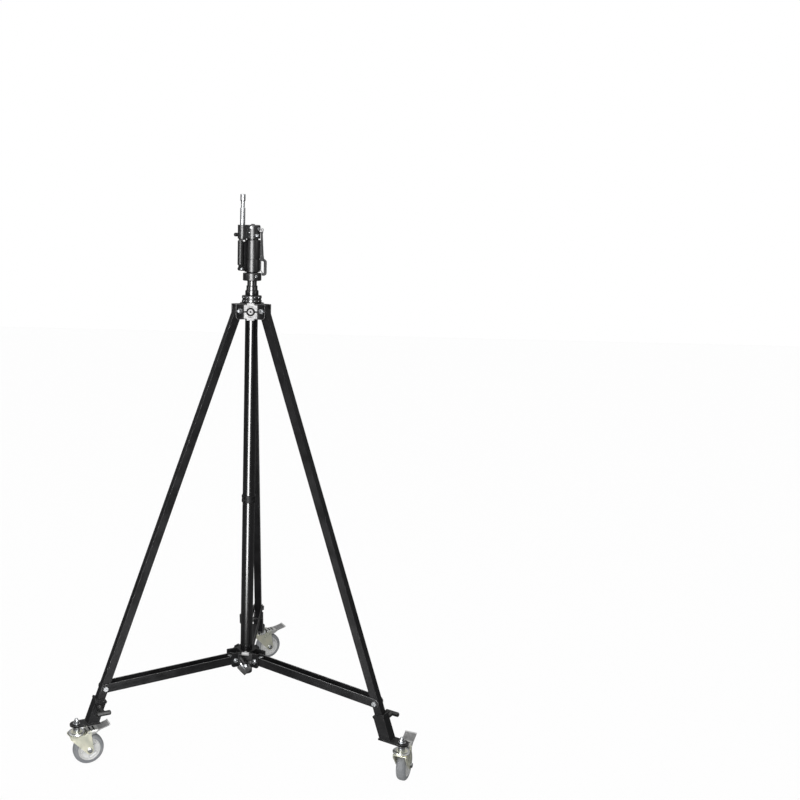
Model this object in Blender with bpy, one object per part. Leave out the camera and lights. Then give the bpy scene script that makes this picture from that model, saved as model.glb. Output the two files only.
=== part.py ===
# Rolling lighting stand: telescopic column on three folding legs with casters.
# Metres, +Z up. The column stands on the floor plane z = 0, and the origin is on
# the floor at the middle of the whole stand's footprint.

import bpy
import bmesh
from math import asin, atan2, cos, degrees, hypot, inf, pi, radians, sin, sqrt, tan
from mathutils import Vector

mm = 0.001

# Fits
seat_gap = 0.3 * mm           # between pieces that touch or slide on each other
hole_clearance = 0.3 * mm     # radial, a shank in its hole

# Telescopic column
column_diameter = 40 * mm
column_lip_diameter = 42 * mm
tube_wall = 1.2 * mm
column_foot = 215 * mm
foot_flange_thickness = 6 * mm
foot_insert_length = 20 * mm
stage_two_diameter = 35 * mm
stage_one_diameter = 30 * mm
stage_length = 1200 * mm
stage_foot_gap = 58 * mm       # from the foot plug to a lowered stage
stage_two_step = 14 * mm      # how far a lowered stage stands proud of the one below
stage_one_step = 42 * mm
bush_length = 40 * mm
bush_flange_thickness = 2 * mm
bush_flange_overhang = 1.6 * mm

# The two hub castings: three clevises round the column, and a face between each two
hub_height = 48 * mm
hub_core_radius = 30 * mm
hub_notch_floor = 27 * mm
hub_face_margin = 1.3 * mm    # from a face plate's corner to the ears beside it
ear_thickness = 5 * mm
ear_reach = 62 * mm
plate_width = 42 * mm
plate_height = 42 * mm
plate_tab_width = 23 * mm
plate_tab_reach = 6 * mm
plate_thickness = 3 * mm
plate_split = 4.5 * mm
plate_notch_radius = 12.5 * mm
plate_back = 1 * mm
face_bolt_width = 19 * mm

# Top hub and the collar above it
hub_top_drop = 39.3 * mm      # below the column's mouth
leg_pivot_drop = 22 * mm      # below the hub's top
leg_pivot_radius = 49.2 * mm
top_ear_corner = 11 * mm
collar_gap = 2 * mm
collar_height = 23 * mm
collar_diameter = 62 * mm
collar_groove_depth = 1.5 * mm
collar_groove_height = 5 * mm

# Legs
leg_size = 25 * mm
leg_wall = 2 * mm
leg_side_play = 0.5 * mm
leg_top_drop = 3 * mm         # below the hub's top
leg_azimuths = {"left": 210, "right": 330, "back": 90}
pivot_bolt_diameter = 8 * mm
bolt_head_width = 15 * mm
bolt_head_height = 5.5 * mm
brace_bolt_height = 244.2 * mm
leg_end_height = 150 * mm

# Braces and the sliding lower hub
brace_plate = 2.5 * mm
brace_inner_width = 28 * mm
brace_height = 28 * mm
web_start = 15 * mm           # from the hub pivot
web_cut_back = 150 * mm       # from the leg pivot, where the leg nests when folded
brace_side_play = 0.5 * mm
lower_pivot_height = 264 * mm
lower_pivot_rise = 22 * mm    # above the casting's underside
lower_pivot_radius = 47.6 * mm
lower_ear_corner = 7 * mm
clamp_neck_diameter = 14 * mm
clamp_neck_drop = 12 * mm     # below the brace pivots
clamp_block_drop = 19 * mm
clamp_block_front = 57 * mm
clamp_block_back = 48 * mm
clamp_block_side = 36 * mm
lock_lever_side = 4 * mm      # its pivot from the block's middle
lock_lever_rise = 12 * mm     # and above it
lock_lever_reach = 34 * mm    # from its pivot to the end of its long side
lock_lever_tail = 9 * mm      # and of its short side
lock_lever_width = 10 * mm
lock_lever_thickness = 7 * mm
lock_lever_tilt = -55         # degrees
lock_lever_boss_diameter = 14 * mm
lock_lever_boss_rise = 1.5 * mm
lock_lever_stud_diameter = 6 * mm
lock_lever_stud_depth = 5 * mm

# Ring on the column that stops the lower hub
mid_ring_height = 807 * mm
mid_ring_diameter = 46 * mm
mid_ring_width = 24 * mm
mid_screw_azimuth = 245
wing_span = 22 * mm
wing_height = 11 * mm
wing_thickness = 3.5 * mm

# Caster adapters and their clamp handles
sleeve_wall = 4.7 * mm
sleeve_start = 38 * mm        # below the brace bolt, along the leg
sleeve_lip = 2 * mm
sleeve_lip_height = 7 * mm
bracket_bottom = 133 * mm
bracket_thickness = 5 * mm
bracket_width = 42 * mm
caster_radius = 583 * mm
caster_offset = 48.3 * mm     # out from the leg's middle line, at the bracket's underside
handle_drop = 60 * mm         # below the brace bolt, along the leg
handle_neck_wide = 20 * mm
handle_neck_narrow = 14 * mm
handle_bar_distance = 64.5 * mm
handle_bar_diameter = 15 * mm
handle_bar_length = 46 * mm

# Casters
trail_azimuths = {"left": 30, "right": 71, "back": 30}
wheel_diameter = 100 * mm
tread_width = 30 * mm
tyre_thickness = 13 * mm
caster_trail = 37 * mm
fork_plate = 2.5 * mm
fork_gap = 36 * mm
fork_eye_radius = 13 * mm
fork_front = 25 * mm          # ahead of the kingpin
fork_front_bottom = 97 * mm
fork_front_chamfer = 5 * mm
fork_back = 27 * mm
fork_ear_bottom = 98 * mm
fork_bridge_bottom = 103 * mm
fork_bridge_top = 106 * mm
race_diameter = 55 * mm
race_top = 112 * mm
kingpin_diameter = 10 * mm
kingpin_flange_diameter = 22 * mm
kingpin_flange_thickness = 2.5 * mm
shoulder_diameter = 19 * mm
acorn_diameter = 17 * mm
acorn_height = 19 * mm
axle_diameter = 10 * mm
axle_head_width = 13 * mm
wheel_hub_diameter = 26 * mm
pedal_pivot_x = 36 * mm
pedal_pivot_height = 109 * mm
pedal_ear_radius = 7 * mm
pedal_knuckle_radius = 5 * mm
pedal_pin_diameter = 5 * mm
pedal_width = 45 * mm
pedal_thickness = 4 * mm
pedal_start = 46 * mm
pedal_reach = 105 * mm
pedal_rise = 9 * mm           # of the tip above the pivot
pedal_rib_count = 7
pedal_rib = 1.5 * mm

# Head on the top stage
head_collar_diameter = 58 * mm
head_collar_height = 24 * mm
head_neck_diameter = 36 * mm
head_neck_height = 3 * mm
head_diameter = 48.5 * mm
head_lower_height = 38 * mm
head_groove = 3 * mm
head_upper_height = 58 * mm
head_pin_length = 60 * mm
cap_gap = 4 * mm
cap_height = 42 * mm
cap_chamfer = 3 * mm
cap_nub_diameter = 14 * mm
cap_nub_height = 3 * mm
socket_azimuth = 215
socket_radius = 37 * mm
socket_diameter = 30 * mm
socket_floor = 3 * mm
socket_web = 18 * mm
spigot_diameter = 16 * mm
spigot_length = 132 * mm
spigot_groove_height = 22 * mm
spigot_groove_depth = 2 * mm
spigot_groove_from_top = 20 * mm
knob_diameter = 12 * mm
knob_length = 13 * mm
knob_height = 12 * mm         # above the cap's underside
knob_shank_diameter = 6 * mm

# Side lever with its folding grip, under the socket
side_axle_diameter = 10 * mm
side_axle_drop = 12 * mm      # below the head body's top
side_axle_depth = 12 * mm
side_arm_gap = 1.3 * mm
side_arm_thickness = 8 * mm
side_arm_width = 14 * mm
side_arm_length = 77 * mm     # between its two pivots
grip_diameter = 18 * mm
grip_start = 12 * mm          # from its pivot
grip_past_axle = 11 * mm      # how far it ends beyond the arm's axle
grip_offset = 9.8 * mm        # its axis from the arm's outer face
grip_tongue = 7.4 * mm
cheek_radius = 6 * mm
grip_pin_diameter = 5 * mm

# Pull lever on the cap
lever_pivot_radius = 27 * mm
lever_pivot_rise = 27 * mm    # above the cap's underside
lever_thickness = 10 * mm
lever_eye_radius = 6 * mm
lever_pin_diameter = 4 * mm
lever_side_play = 0.3 * mm
lever_ear_thickness = 4 * mm
lever_body_gap = 0.8 * mm
lever_neck = 10 * mm
loop_height = 50.5 * mm
loop_collar_overlap = 8.5 * mm    # how far it hangs down beside the lower collar
loop_step_rise = 2.5 * mm     # its step round the collar, above the collar
loop_outer = 45 * mm
loop_inner_bar = 2.6 * mm
loop_outer_bar = 9 * mm
loop_top_bar = 5.5 * mm
loop_end_bar = 8 * mm

# Roundness
fine_segments = 20            # tubes, wheels and what fits on them share one count
medium_segments = 12
small_segments = 10

finishes = {                  # colour, roughness, metallic
    "black_paint": ((0.016, 0.016, 0.018), 0.38, 0.0),
    "zinc": ((0.62, 0.62, 0.6), 0.32, 1.0),
    "bright_plate": ((0.78, 0.78, 0.78), 0.25, 1.0),
    "yellow_zinc": ((0.66, 0.6, 0.42), 0.35, 1.0),
    "grey_rubber": ((0.13, 0.13, 0.13), 0.8, 0.0),
    "pale_plastic": ((0.55, 0.55, 0.52), 0.5, 0.0),
    "pedal_plastic": ((0.5, 0.5, 0.48), 0.45, 0.0),
    "black_plastic": ((0.014, 0.014, 0.014), 0.45, 0.0),
}


def clear_scene():
    for item in list(bpy.data.objects):
        bpy.data.objects.remove(item, do_unlink=True)


def make_material(name, finish):
    colour, roughness, metallic = finishes[finish]
    material = bpy.data.materials.new(name)
    material.use_nodes = True
    shader = material.node_tree.nodes["Principled BSDF"]
    shader.inputs["Base Color"].default_value = (*colour, 1.0)
    shader.inputs["Roughness"].default_value = roughness
    shader.inputs["Metallic"].default_value = metallic
    return material


def make_empty(name, parent=None, location=(0, 0, 0), rotation=(0, 0, 0)):
    empty = bpy.data.objects.new(name, None)
    bpy.context.scene.collection.objects.link(empty)
    empty.parent = parent
    empty.location = location
    empty.rotation_euler = rotation
    return empty


def make_object(name, bm, parent, location=(0, 0, 0), rotation=(0, 0, 0), finish="black_paint"):
    bmesh.ops.recalc_face_normals(bm, faces=bm.faces)
    mesh = bpy.data.meshes.new(name)
    bm.to_mesh(mesh)
    bm.free()
    mesh.shade_smooth()
    mesh.set_sharp_from_angle(angle=radians(35))
    made = bpy.data.objects.new(name, mesh)
    bpy.context.scene.collection.objects.link(made)
    made.parent = parent
    made.location = location
    made.rotation_euler = rotation
    mesh.materials.append(make_material(name, finish))
    return made


def combine(made, operation, tool):
    modifier = made.modifiers.new(tool.name, "BOOLEAN")
    modifier.operation = operation
    modifier.solver = "EXACT"
    modifier.object = tool
    tool.hide_render = True
    tool.display_type = "WIRE"


def cut(made, tool):
    combine(made, "DIFFERENCE", tool)


def add(made, tool):
    combine(made, "UNION", tool)


def arc(centre_x, centre_y, radius, start, end, steps):
    points = []
    for step in range(steps + 1):
        angle = radians(start + (end - start) * step / steps)
        points.append((centre_x + radius * cos(angle), centre_y + radius * sin(angle)))
    return points


def turn_into(bm, profile, segments, offset=(0, 0, 0)):
    # A profile of (radius, height) points; one that starts off the axis is a closed ring.
    rings = []
    for radius, height in profile:
        if radius < 1e-9:
            rings.append([bm.verts.new((offset[0], offset[1], offset[2] + height))])
            continue
        ring = []
        for index in range(segments):
            angle = 2 * pi * (index + 0.5) / segments
            ring.append(bm.verts.new((offset[0] + radius * cos(angle),
                                      offset[1] + radius * sin(angle),
                                      offset[2] + height)))
        rings.append(ring)
    pairs = list(zip(rings, rings[1:]))
    if len(rings[0]) > 1:
        pairs.append((rings[-1], rings[0]))
    for low, high in pairs:
        for index in range(segments):
            after = (index + 1) % segments
            corners = [low[index % len(low)], low[after % len(low)],
                       high[after % len(high)], high[index % len(high)]]
            bm.faces.new(list(dict.fromkeys(corners)))


def prism_into(bm, outline, start, end, along="y"):
    # An outline in the plane across the given axis, extruded from start to end.
    def place(first, second, depth):
        if along == "y":
            return (first, depth, second)
        if along == "x":
            return (depth, first, second)
        return (first, second, depth)

    near = [bm.verts.new(place(a, b, start)) for a, b in outline]
    far = [bm.verts.new(place(a, b, end)) for a, b in outline]
    bm.faces.new(near)
    bm.faces.new(list(reversed(far)))
    for index in range(len(outline)):
        after = (index + 1) % len(outline)
        bm.faces.new((near[after], near[index], far[index], far[after]))


def turned(name, profile, segments, parent, location=(0, 0, 0), rotation=(0, 0, 0),
           finish="black_paint"):
    bm = bmesh.new()
    turn_into(bm, profile, segments)
    return make_object(name, bm, parent, location, rotation, finish)


def prism(name, outline, start, end, parent, along="y", location=(0, 0, 0), rotation=(0, 0, 0),
          finish="black_paint"):
    bm = bmesh.new()
    prism_into(bm, outline, start, end, along)
    return make_object(name, bm, parent, location, rotation, finish)


def rod_profile(radius, start, end):
    return [(0, start), (radius, start), (radius, end), (0, end)]


def tube_profile(outer, inner, start, end):
    return [(outer, start), (outer, end), (inner, end), (inner, start)]


def drill(made, parent, radius, start, end, location=(0, 0, 0), rotation=(0, 0, 0),
          segments=small_segments):
    # A round hole along the tool's own Z.
    tool = turned(made.name + "_drill", rod_profile(radius, start, end), segments, parent,
                  location, rotation)
    cut(made, tool)


along_y = (radians(-90), 0, 0)      # turns a piece's own +Z to +Y
along_x = (0, radians(90), 0)       # turns a piece's own +Z to +X


def hex_outline(width, centre_x=0.0, centre_y=0.0):
    return arc(centre_x, centre_y, width / sqrt(3), 0, 300, 5)


# Worked out from the driving sizes
column_radius = column_diameter / 2
column_bore = column_radius - tube_wall
stage_two_radius = stage_two_diameter / 2
stage_two_bore = stage_two_radius - tube_wall
stage_one_radius = stage_one_diameter / 2
stage_one_bore = stage_one_radius - tube_wall
sliding_bore = column_radius + seat_gap
column_top = (column_foot + foot_insert_length + stage_foot_gap + stage_length
              - stage_two_step)
stage_two_top = column_top + stage_two_step
head_bottom = stage_two_top - stage_two_step + stage_one_step - 10 * mm
bolt_radius = pivot_bolt_diameter / 2
bolt_hole = bolt_radius + hole_clearance
hub_top = column_top - hub_top_drop
leg_pivot_height = hub_top - leg_pivot_drop
leg_slope = atan2(caster_radius - caster_offset - leg_pivot_radius,
                  leg_pivot_height - bracket_bottom)
collar_bottom = hub_top + collar_gap
collar_top = collar_bottom + collar_height
brace_bolt_distance = (leg_pivot_height - brace_bolt_height) / cos(leg_slope)
brace_run = (leg_pivot_radius + brace_bolt_distance * sin(leg_slope)) - lower_pivot_radius
brace_drop = lower_pivot_height - brace_bolt_height
brace_length = hypot(brace_run, brace_drop)
brace_slope = atan2(-brace_drop, brace_run)
brace_half = brace_inner_width / 2
brace_outer = brace_half + brace_plate
sleeve_half = leg_size / 2 + seat_gap + sleeve_wall
bracket_top = bracket_bottom + bracket_thickness
wheel_radius = wheel_diameter / 2
fork_half = fork_gap / 2
fork_outer = fork_half + fork_plate


def leg_point(distance, across=0.0):
    # A point of the leg's side view: distance down the leg, and across it, outward.
    return (leg_pivot_radius + distance * sin(leg_slope) + across * cos(leg_slope),
            leg_pivot_height - distance * cos(leg_slope) + across * sin(leg_slope))


def leg_level(height, across=0.0):
    # The point of a line along the leg at a level, in the side view.
    distance = (leg_pivot_height + across * sin(leg_slope) - height) / cos(leg_slope)
    return leg_point(distance, across)


def build_column(stand):
    lip = column_lip_diameter / 2
    lip_start = collar_top + seat_gap
    column = turned("centre_column", [
        (column_radius, column_foot), (column_radius, lip_start), (lip, lip_start + 1 * mm),
        (lip, column_top), (column_bore, column_top), (column_bore, column_foot)],
        fine_segments, stand)
    insert_top = column_foot + foot_insert_length
    flange_bottom = column_foot - foot_flange_thickness - seat_gap
    insert = column_bore - seat_gap
    turned("column_foot_plug", [
        (0, flange_bottom), (column_radius - 2 * mm, flange_bottom),
        (column_radius, flange_bottom + 2 * mm), (column_radius, column_foot - seat_gap),
        (insert, column_foot - seat_gap), (insert, insert_top), (0, insert_top)],
        medium_segments, stand, finish="black_plastic")
    return column


def build_bush(name, parent, bore, stage_radius, top):
    outer = bore - seat_gap
    inner = stage_radius + seat_gap
    flange = bore + bush_flange_overhang - 0.5 * mm
    flange_bottom = top + seat_gap
    flange_top = flange_bottom + bush_flange_thickness
    turned(name, [
        (outer, top - bush_length), (outer, flange_bottom), (flange, flange_bottom),
        (flange, flange_top), (inner, flange_top), (inner, top - bush_length)],
        fine_segments, parent, finish="black_plastic")


def arm_frame(name, stand, azimuth):
    return make_empty(name, stand, (0, 0, 0), (0, 0, radians(azimuth)))


def face_distance(ear_outer_face):
    # How far the faces between the arms lie out, so that a face plate fits between the ears.
    return (ear_outer_face + hub_face_margin + plate_width / 4) / cos(radians(30))


def build_hub_casting(name, parent, width, side_play, bottom, corner, pivot):
    # Three clevises for square arms of one width. Heights count from the parent's origin.
    top = bottom + hub_height
    inner = width / 2 + side_play
    outer = inner + ear_thickness
    face = face_distance(outer)
    flat_half = face * tan(radians(60)) - 2 * outer
    outline = []
    for index in range(3):
        angle = radians(30 + 120 * index)
        for end in (-1, 1):
            outline.append((face * cos(angle) - end * flat_half * sin(angle),
                            face * sin(angle) + end * flat_half * cos(angle)))
    hub = prism(name, outline, bottom, top, parent, along="z")
    root = hub_core_radius - 8 * mm
    arm_outline = ([(root, top), (root, bottom)]
                   + arc(ear_reach - corner, bottom + corner, corner, -90, 0, 4)
                   + [(ear_reach, top)])
    notch_outline = [(hub_notch_floor, bottom - mm), (ear_reach + mm, bottom - mm),
                     (ear_reach + mm, top + mm), (hub_notch_floor, top + mm)]
    frames = {side: arm_frame(name + "_arm_" + side, parent, azimuth)
              for side, azimuth in leg_azimuths.items()}
    for side, frame in frames.items():
        add(hub, prism(name + "_ears_" + side, arm_outline, -outer, outer, frame))
    for side, frame in frames.items():
        cut(hub, prism(name + "_notch_" + side, notch_outline, -inner, inner, frame))
    drill(hub, parent, sliding_bore, bottom - mm, top + mm, segments=fine_segments)
    for side, frame in frames.items():
        drill(hub, frame, bolt_hole, -outer - mm, outer + mm, pivot, along_y)
        build_bolt(name + "_bolt_" + side, frame, outer, pivot)
    return hub, frames, face


def build_top_hub(stand):
    bottom = hub_top - hub_height
    hub, frames, face = build_hub_casting("top_hub", stand, leg_size, leg_side_play, bottom,
                                          top_ear_corner,
                                          (leg_pivot_radius, 0, leg_pivot_height))
    back = -face - seat_gap
    for side, frame in frames.items():
        face_plate("top_hub_plate_opposite_" + side, frame, back, back - plate_thickness,
                   bottom + hub_height / 2)


def build_bolt(name, frame, half_width, location):
    # A through bolt across an arm: a head, the shank and a nut, in one solid.
    face = half_width + seat_gap
    end = face + bolt_head_height
    head = bolt_head_width / 2
    profile = [(0, -end), (head, -end), (head, -face), (bolt_radius, -face), (bolt_radius, face),
               (head, face), (head, end), (0, end)]
    turned(name, profile, small_segments, frame, location, along_y, finish="zinc")


def plate_outline(middle):
    # A square plate with a narrower tab at its upper and lower edges.
    half = plate_width / 2
    low = middle - plate_height / 2
    high = middle + plate_height / 2
    tab = plate_tab_width / 2
    return [(half, low), (half, high), (tab, high), (tab, high + plate_tab_reach),
            (-tab, high + plate_tab_reach), (-tab, high), (-half, high), (-half, low),
            (-tab, low), (-tab, low - plate_tab_reach), (tab, low - plate_tab_reach), (tab, low)]


def face_plate(name, frame, back, front, middle, has_bolt=True):
    # A face plate in an upper and a lower half round a bolt: the split is a groove across it.
    plate = prism(name, plate_outline(middle), front, back, frame, along="x",
                  finish="bright_plate")
    half_split = plate_split / 2
    beyond = plate_width / 2 + 2 * mm
    reach = degrees(asin(half_split / plate_notch_radius))
    groove = ([(-beyond, middle - half_split)]
              + arc(0, middle, plate_notch_radius, 180 + reach, 360 - reach, 8)
              + [(beyond, middle - half_split), (beyond, middle + half_split)]
              + arc(0, middle, plate_notch_radius, reach, 180 - reach, 8)
              + [(-beyond, middle + half_split)])
    floor = front + plate_thickness - plate_back
    cut(plate, prism(name + "_groove", groove, front - mm, floor, frame, along="x"))
    if has_bolt:
        add(plate, prism(name + "_bolt", hex_outline(face_bolt_width, 0, middle),
                         front - bolt_head_height / 2, floor + plate_back / 2, frame, along="x"))
    return plate


def build_top_collar(stand):
    outer = collar_diameter / 2
    groove = outer - collar_groove_depth
    middle = (collar_bottom + collar_top) / 2
    low = middle - collar_groove_height / 2
    high = middle + collar_groove_height / 2
    chamfer = 1.5 * mm
    turned("top_collar", [
        (outer - chamfer, collar_bottom), (outer, collar_bottom + chamfer), (outer, low),
        (groove, low), (groove, high), (outer, high), (outer, collar_top - chamfer),
        (outer - chamfer, collar_top), (sliding_bore, collar_top), (sliding_bore, collar_bottom)],
        fine_segments, stand)


def build_mid_ring(stand):
    outer = mid_ring_diameter / 2
    low = mid_ring_height - mid_ring_width / 2
    high = mid_ring_height + mid_ring_width / 2
    chamfer = 1.5 * mm
    ring = turned("mid_ring", [
        (outer - chamfer, low), (outer, low + chamfer), (outer, high - chamfer),
        (outer - chamfer, high), (sliding_bore, high), (sliding_bore, low)], fine_segments, stand)
    frame = arm_frame("mid_screw_frame", stand, mid_screw_azimuth)
    pivot = make_empty("mid_ring_screw_axis", frame, (0, 0, mid_ring_height), (0, 0, 0))
    hole = 3 * mm
    drill(ring, pivot, hole + hole_clearance, column_radius - mm, outer + mm, rotation=along_x)
    screw_profile = [(0, sliding_bore), (hole, sliding_bore), (hole, outer + seat_gap),
                     (5 * mm, outer + seat_gap), (4 * mm, outer + 5 * mm), (0, outer + 5 * mm)]
    screw = turned("mid_ring_screw", screw_profile, small_segments, pivot, rotation=along_x,
                   finish="black_plastic")
    half = wing_span / 2
    start = outer + 3 * mm
    wings = [(start, 3 * mm), (start + 2 * mm, half), (start + wing_height, half),
             (start + wing_height - 3 * mm, 0), (start + wing_height, -half),
             (start + 2 * mm, -half), (start, -3 * mm)]
    add(screw, prism("mid_ring_wings", wings, -wing_thickness / 2, wing_thickness / 2, pivot))


def build_lower_hub(hub_frame):
    # The same casting with wider clevises. Heights count from the brace pivots.
    brace_width = brace_inner_width + 2 * brace_plate
    hub, frames, face = build_hub_casting("lower_hub", hub_frame, brace_width, brace_side_play,
                                          -lower_pivot_rise, lower_ear_corner,
                                          (lower_pivot_radius, 0, 0))
    middle = hub_height / 2 - lower_pivot_rise
    for side, frame in frames.items():
        add(hub, face_plate("lower_hub_plate_opposite_" + side, frame, mm - face,
                            -face - plate_thickness, middle, has_bolt=side != "back"))
    # The clamp block stands in front of the plate opposite the back arm.
    front = arm_frame("lower_hub_front", hub_frame, leg_azimuths["back"] + 180)
    neck_place = (0, 0, -clamp_neck_drop)
    block_place = (0, 0, -clamp_block_drop)
    diagonal = clamp_block_side / sqrt(2)
    diamond = [(-diagonal, 0), (0, -diagonal), (diagonal, 0), (0, diagonal)]
    block = prism("lower_hub_clamp_block", diamond, clamp_block_back, clamp_block_front, front,
                  along="x", location=block_place)
    neck_start = face + plate_thickness + seat_gap
    add(block, turned("lower_hub_neck", rod_profile(clamp_neck_diameter / 2, neck_start,
                                                    clamp_block_back + mm),
                      medium_segments, front, neck_place, along_x))
    stud = lock_lever_stud_diameter / 2
    stud_end = clamp_block_front - lock_lever_stud_depth
    lever_place = (0, lock_lever_side, lock_lever_rise - clamp_block_drop)
    drill(block, front, stud + hole_clearance, stud_end - seat_gap, clamp_block_front + mm,
          lever_place, along_x)
    lever_axis = make_empty("lower_hub_lock_axis", front, lever_place,
                            (radians(lock_lever_tilt), 0, 0))
    start = clamp_block_front + seat_gap
    end = start + lock_lever_thickness
    half_width = lock_lever_width / 2
    bar = (arc(lock_lever_tail - half_width, 0, half_width, -90, 90, 5)
           + arc(half_width - lock_lever_reach, 0, half_width, 90, 270, 5))
    lever = prism("lower_hub_lock_lever", bar, start + 2 * mm, end, lever_axis, along="x",
                  finish="black_paint")
    boss = lock_lever_boss_diameter / 2
    boss_end = end + lock_lever_boss_rise
    add(lever, turned("lock_lever_boss", [
        (0, stud_end), (stud, stud_end), (stud, start), (boss, start), (boss, boss_end),
        (0, boss_end)], medium_segments, lever_axis, rotation=along_x))


def build_brace(side, azimuth, hub_frame):
    frame = arm_frame("brace_frame_" + side, hub_frame, azimuth)
    pivot = make_empty("brace_pivot_" + side, frame, (lower_pivot_radius, 0, 0),
                       (0, -brace_slope, 0))
    half = brace_height / 2
    outline = arc(brace_length, 0, half, -90, 90, 6) + arc(0, 0, half, 90, 270, 6)
    brace = prism("brace_" + side, outline, -brace_outer, brace_outer, pivot)
    beyond = half + 5 * mm
    web_top = brace_plate - half
    web_end = brace_length - web_cut_back
    channel = [(-beyond, beyond), (-beyond, -beyond), (web_start, -beyond), (web_start, web_top),
               (web_end, web_top), (web_end, -beyond), (brace_length + beyond, -beyond),
               (brace_length + beyond, beyond)]
    cut(brace, prism("brace_channel_" + side, channel, -brace_half, brace_half, pivot))
    drill(brace, pivot, bolt_hole, -brace_outer - mm, brace_outer + mm, rotation=along_y)
    # The far pivot's head and nut sit on the plates, and nothing crosses the leg's way.
    end = brace_outer + bolt_head_height
    for direction in (-1, 1):
        add(brace, prism("brace_bolt_" + side, hex_outline(bolt_head_width, brace_length, 0),
                         direction * (brace_outer - mm), direction * end, pivot))


def build_leg(side, azimuth, stand):
    frame = arm_frame("leg_frame_" + side, stand, azimuth)
    half = leg_size / 2
    end = (leg_pivot_height - leg_end_height) / cos(leg_slope)
    top = hub_top - leg_top_drop
    outline = [leg_level(top, -half), leg_level(top, half), leg_point(end, half),
               leg_point(end, -half)]
    leg = prism("leg_" + side, outline, -half, half, frame)
    inner = half - leg_wall
    beyond = 40 * mm
    bore = [leg_level(top + beyond, -inner), leg_level(top + beyond, inner),
            leg_point(end + beyond, inner), leg_point(end + beyond, -inner)]
    cut(leg, prism("leg_bore_" + side, bore, -inner, inner, frame))
    drill(leg, frame, bolt_hole, -half - mm, half + mm,
          (leg_pivot_radius, 0, leg_pivot_height), along_y)
    build_adapter(side, frame, end)


def build_adapter(side, frame, leg_end):
    top = brace_bolt_distance + sleeve_start
    outer = sleeve_half
    lip = outer + sleeve_lip
    lip_end = top + sleeve_lip_height
    outline = [leg_point(top, -lip), leg_point(top, lip), leg_point(lip_end, lip),
               leg_point(lip_end, outer), leg_level(bracket_bottom, outer),
               leg_level(bracket_bottom, -outer), leg_point(lip_end, -outer),
               leg_point(lip_end, -lip)]
    adapter = prism("caster_adapter_" + side, outline, -outer, outer, frame)
    half = bracket_width / 2
    bracket_start = leg_level(bracket_top, -outer)[0] - 2 * mm
    plan = ([(bracket_start, half), (bracket_start, -half)]
            + arc(caster_radius, 0, half, -90, 90, 10))
    add(adapter, prism("caster_bracket_" + side, plan, bracket_bottom, bracket_top, frame,
                       along="z"))
    cavity = leg_size / 2 + seat_gap
    above = top - 20 * mm
    bottom = leg_end + seat_gap
    socket = [leg_point(above, -cavity), leg_point(above, cavity), leg_point(bottom, cavity),
              leg_point(bottom, -cavity)]
    cut(adapter, prism("caster_socket_" + side, socket, -cavity, cavity, frame))
    drill(adapter, frame, kingpin_diameter / 2 + hole_clearance, bracket_bottom - mm,
          bracket_top + mm, (caster_radius, 0, 0))
    handle_place = leg_point(brace_bolt_distance + handle_drop)
    axis = make_empty("clamp_handle_axis_" + side, frame, (handle_place[0], 0, handle_place[1]),
                      (0, -leg_slope, 0))
    build_clamp_handle(side, axis, adapter)


def build_clamp_handle(side, axis, adapter):
    screw = 4 * mm
    drill(adapter, axis, screw + hole_clearance, leg_size / 2, sleeve_half + mm, rotation=along_y)
    start = leg_size / 2 + seat_gap
    flange = sleeve_half + seat_gap
    wide = handle_neck_wide / 2
    narrow = handle_neck_narrow / 2
    middle = (wide + narrow) / 2
    neck = [(0, start), (screw, start), (screw, flange), (wide, flange), (wide, flange + 8 * mm),
            (middle, flange + 9 * mm), (middle, flange + 15 * mm), (narrow, flange + 16 * mm),
            (narrow, handle_bar_distance), (0, handle_bar_distance)]
    handle = turned("clamp_handle_" + side, neck, medium_segments, axis, rotation=along_y,
                    finish="black_plastic")
    bar_turn = (0, 0, 0) if side == "back" else (0, radians(90) + leg_slope, 0)
    radius = handle_bar_diameter / 2
    half = handle_bar_length / 2
    rounding = 3 * mm
    bar = [(0, -half), (radius - rounding, -half), (radius, rounding - half),
           (radius, half - rounding), (radius - rounding, half), (0, half)]
    add(handle, turned("clamp_bar_" + side, bar, medium_segments, axis,
                       (0, handle_bar_distance, 0), bar_turn))


def build_caster(side, azimuth, stand):
    place = (caster_radius * cos(radians(azimuth)), caster_radius * sin(radians(azimuth)), 0)
    swivel = make_empty("caster_swivel_" + side, stand, place,
                        (0, 0, radians(trail_azimuths[side])))
    pin = kingpin_diameter / 2
    under = fork_bridge_bottom - seat_gap
    nut_base = bracket_top + seat_gap
    acorn = acorn_diameter / 2
    cone = nut_base + acorn_height - acorn
    dome = arc(0, cone, acorn, 0, 90, 4)[:-1]
    turned("caster_stem_" + side, [
        (0, under - kingpin_flange_thickness), (kingpin_flange_diameter / 2,
                                                under - kingpin_flange_thickness),
        (kingpin_flange_diameter / 2, under), (pin, under), (pin, race_top + seat_gap),
        (shoulder_diameter / 2, race_top + seat_gap),
        (shoulder_diameter / 2, bracket_bottom - seat_gap), (pin, bracket_bottom - seat_gap),
        (pin, nut_base), (acorn, nut_base)] + dome + [(0, cone + acorn)],
        small_segments, stand, place, finish="zinc")
    build_fork(side, swivel)
    axle_place = make_empty("caster_axle_axis_" + side, swivel, (caster_trail, 0, wheel_radius))
    build_wheel(side, axle_place)
    build_pedal(side, swivel)


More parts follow.
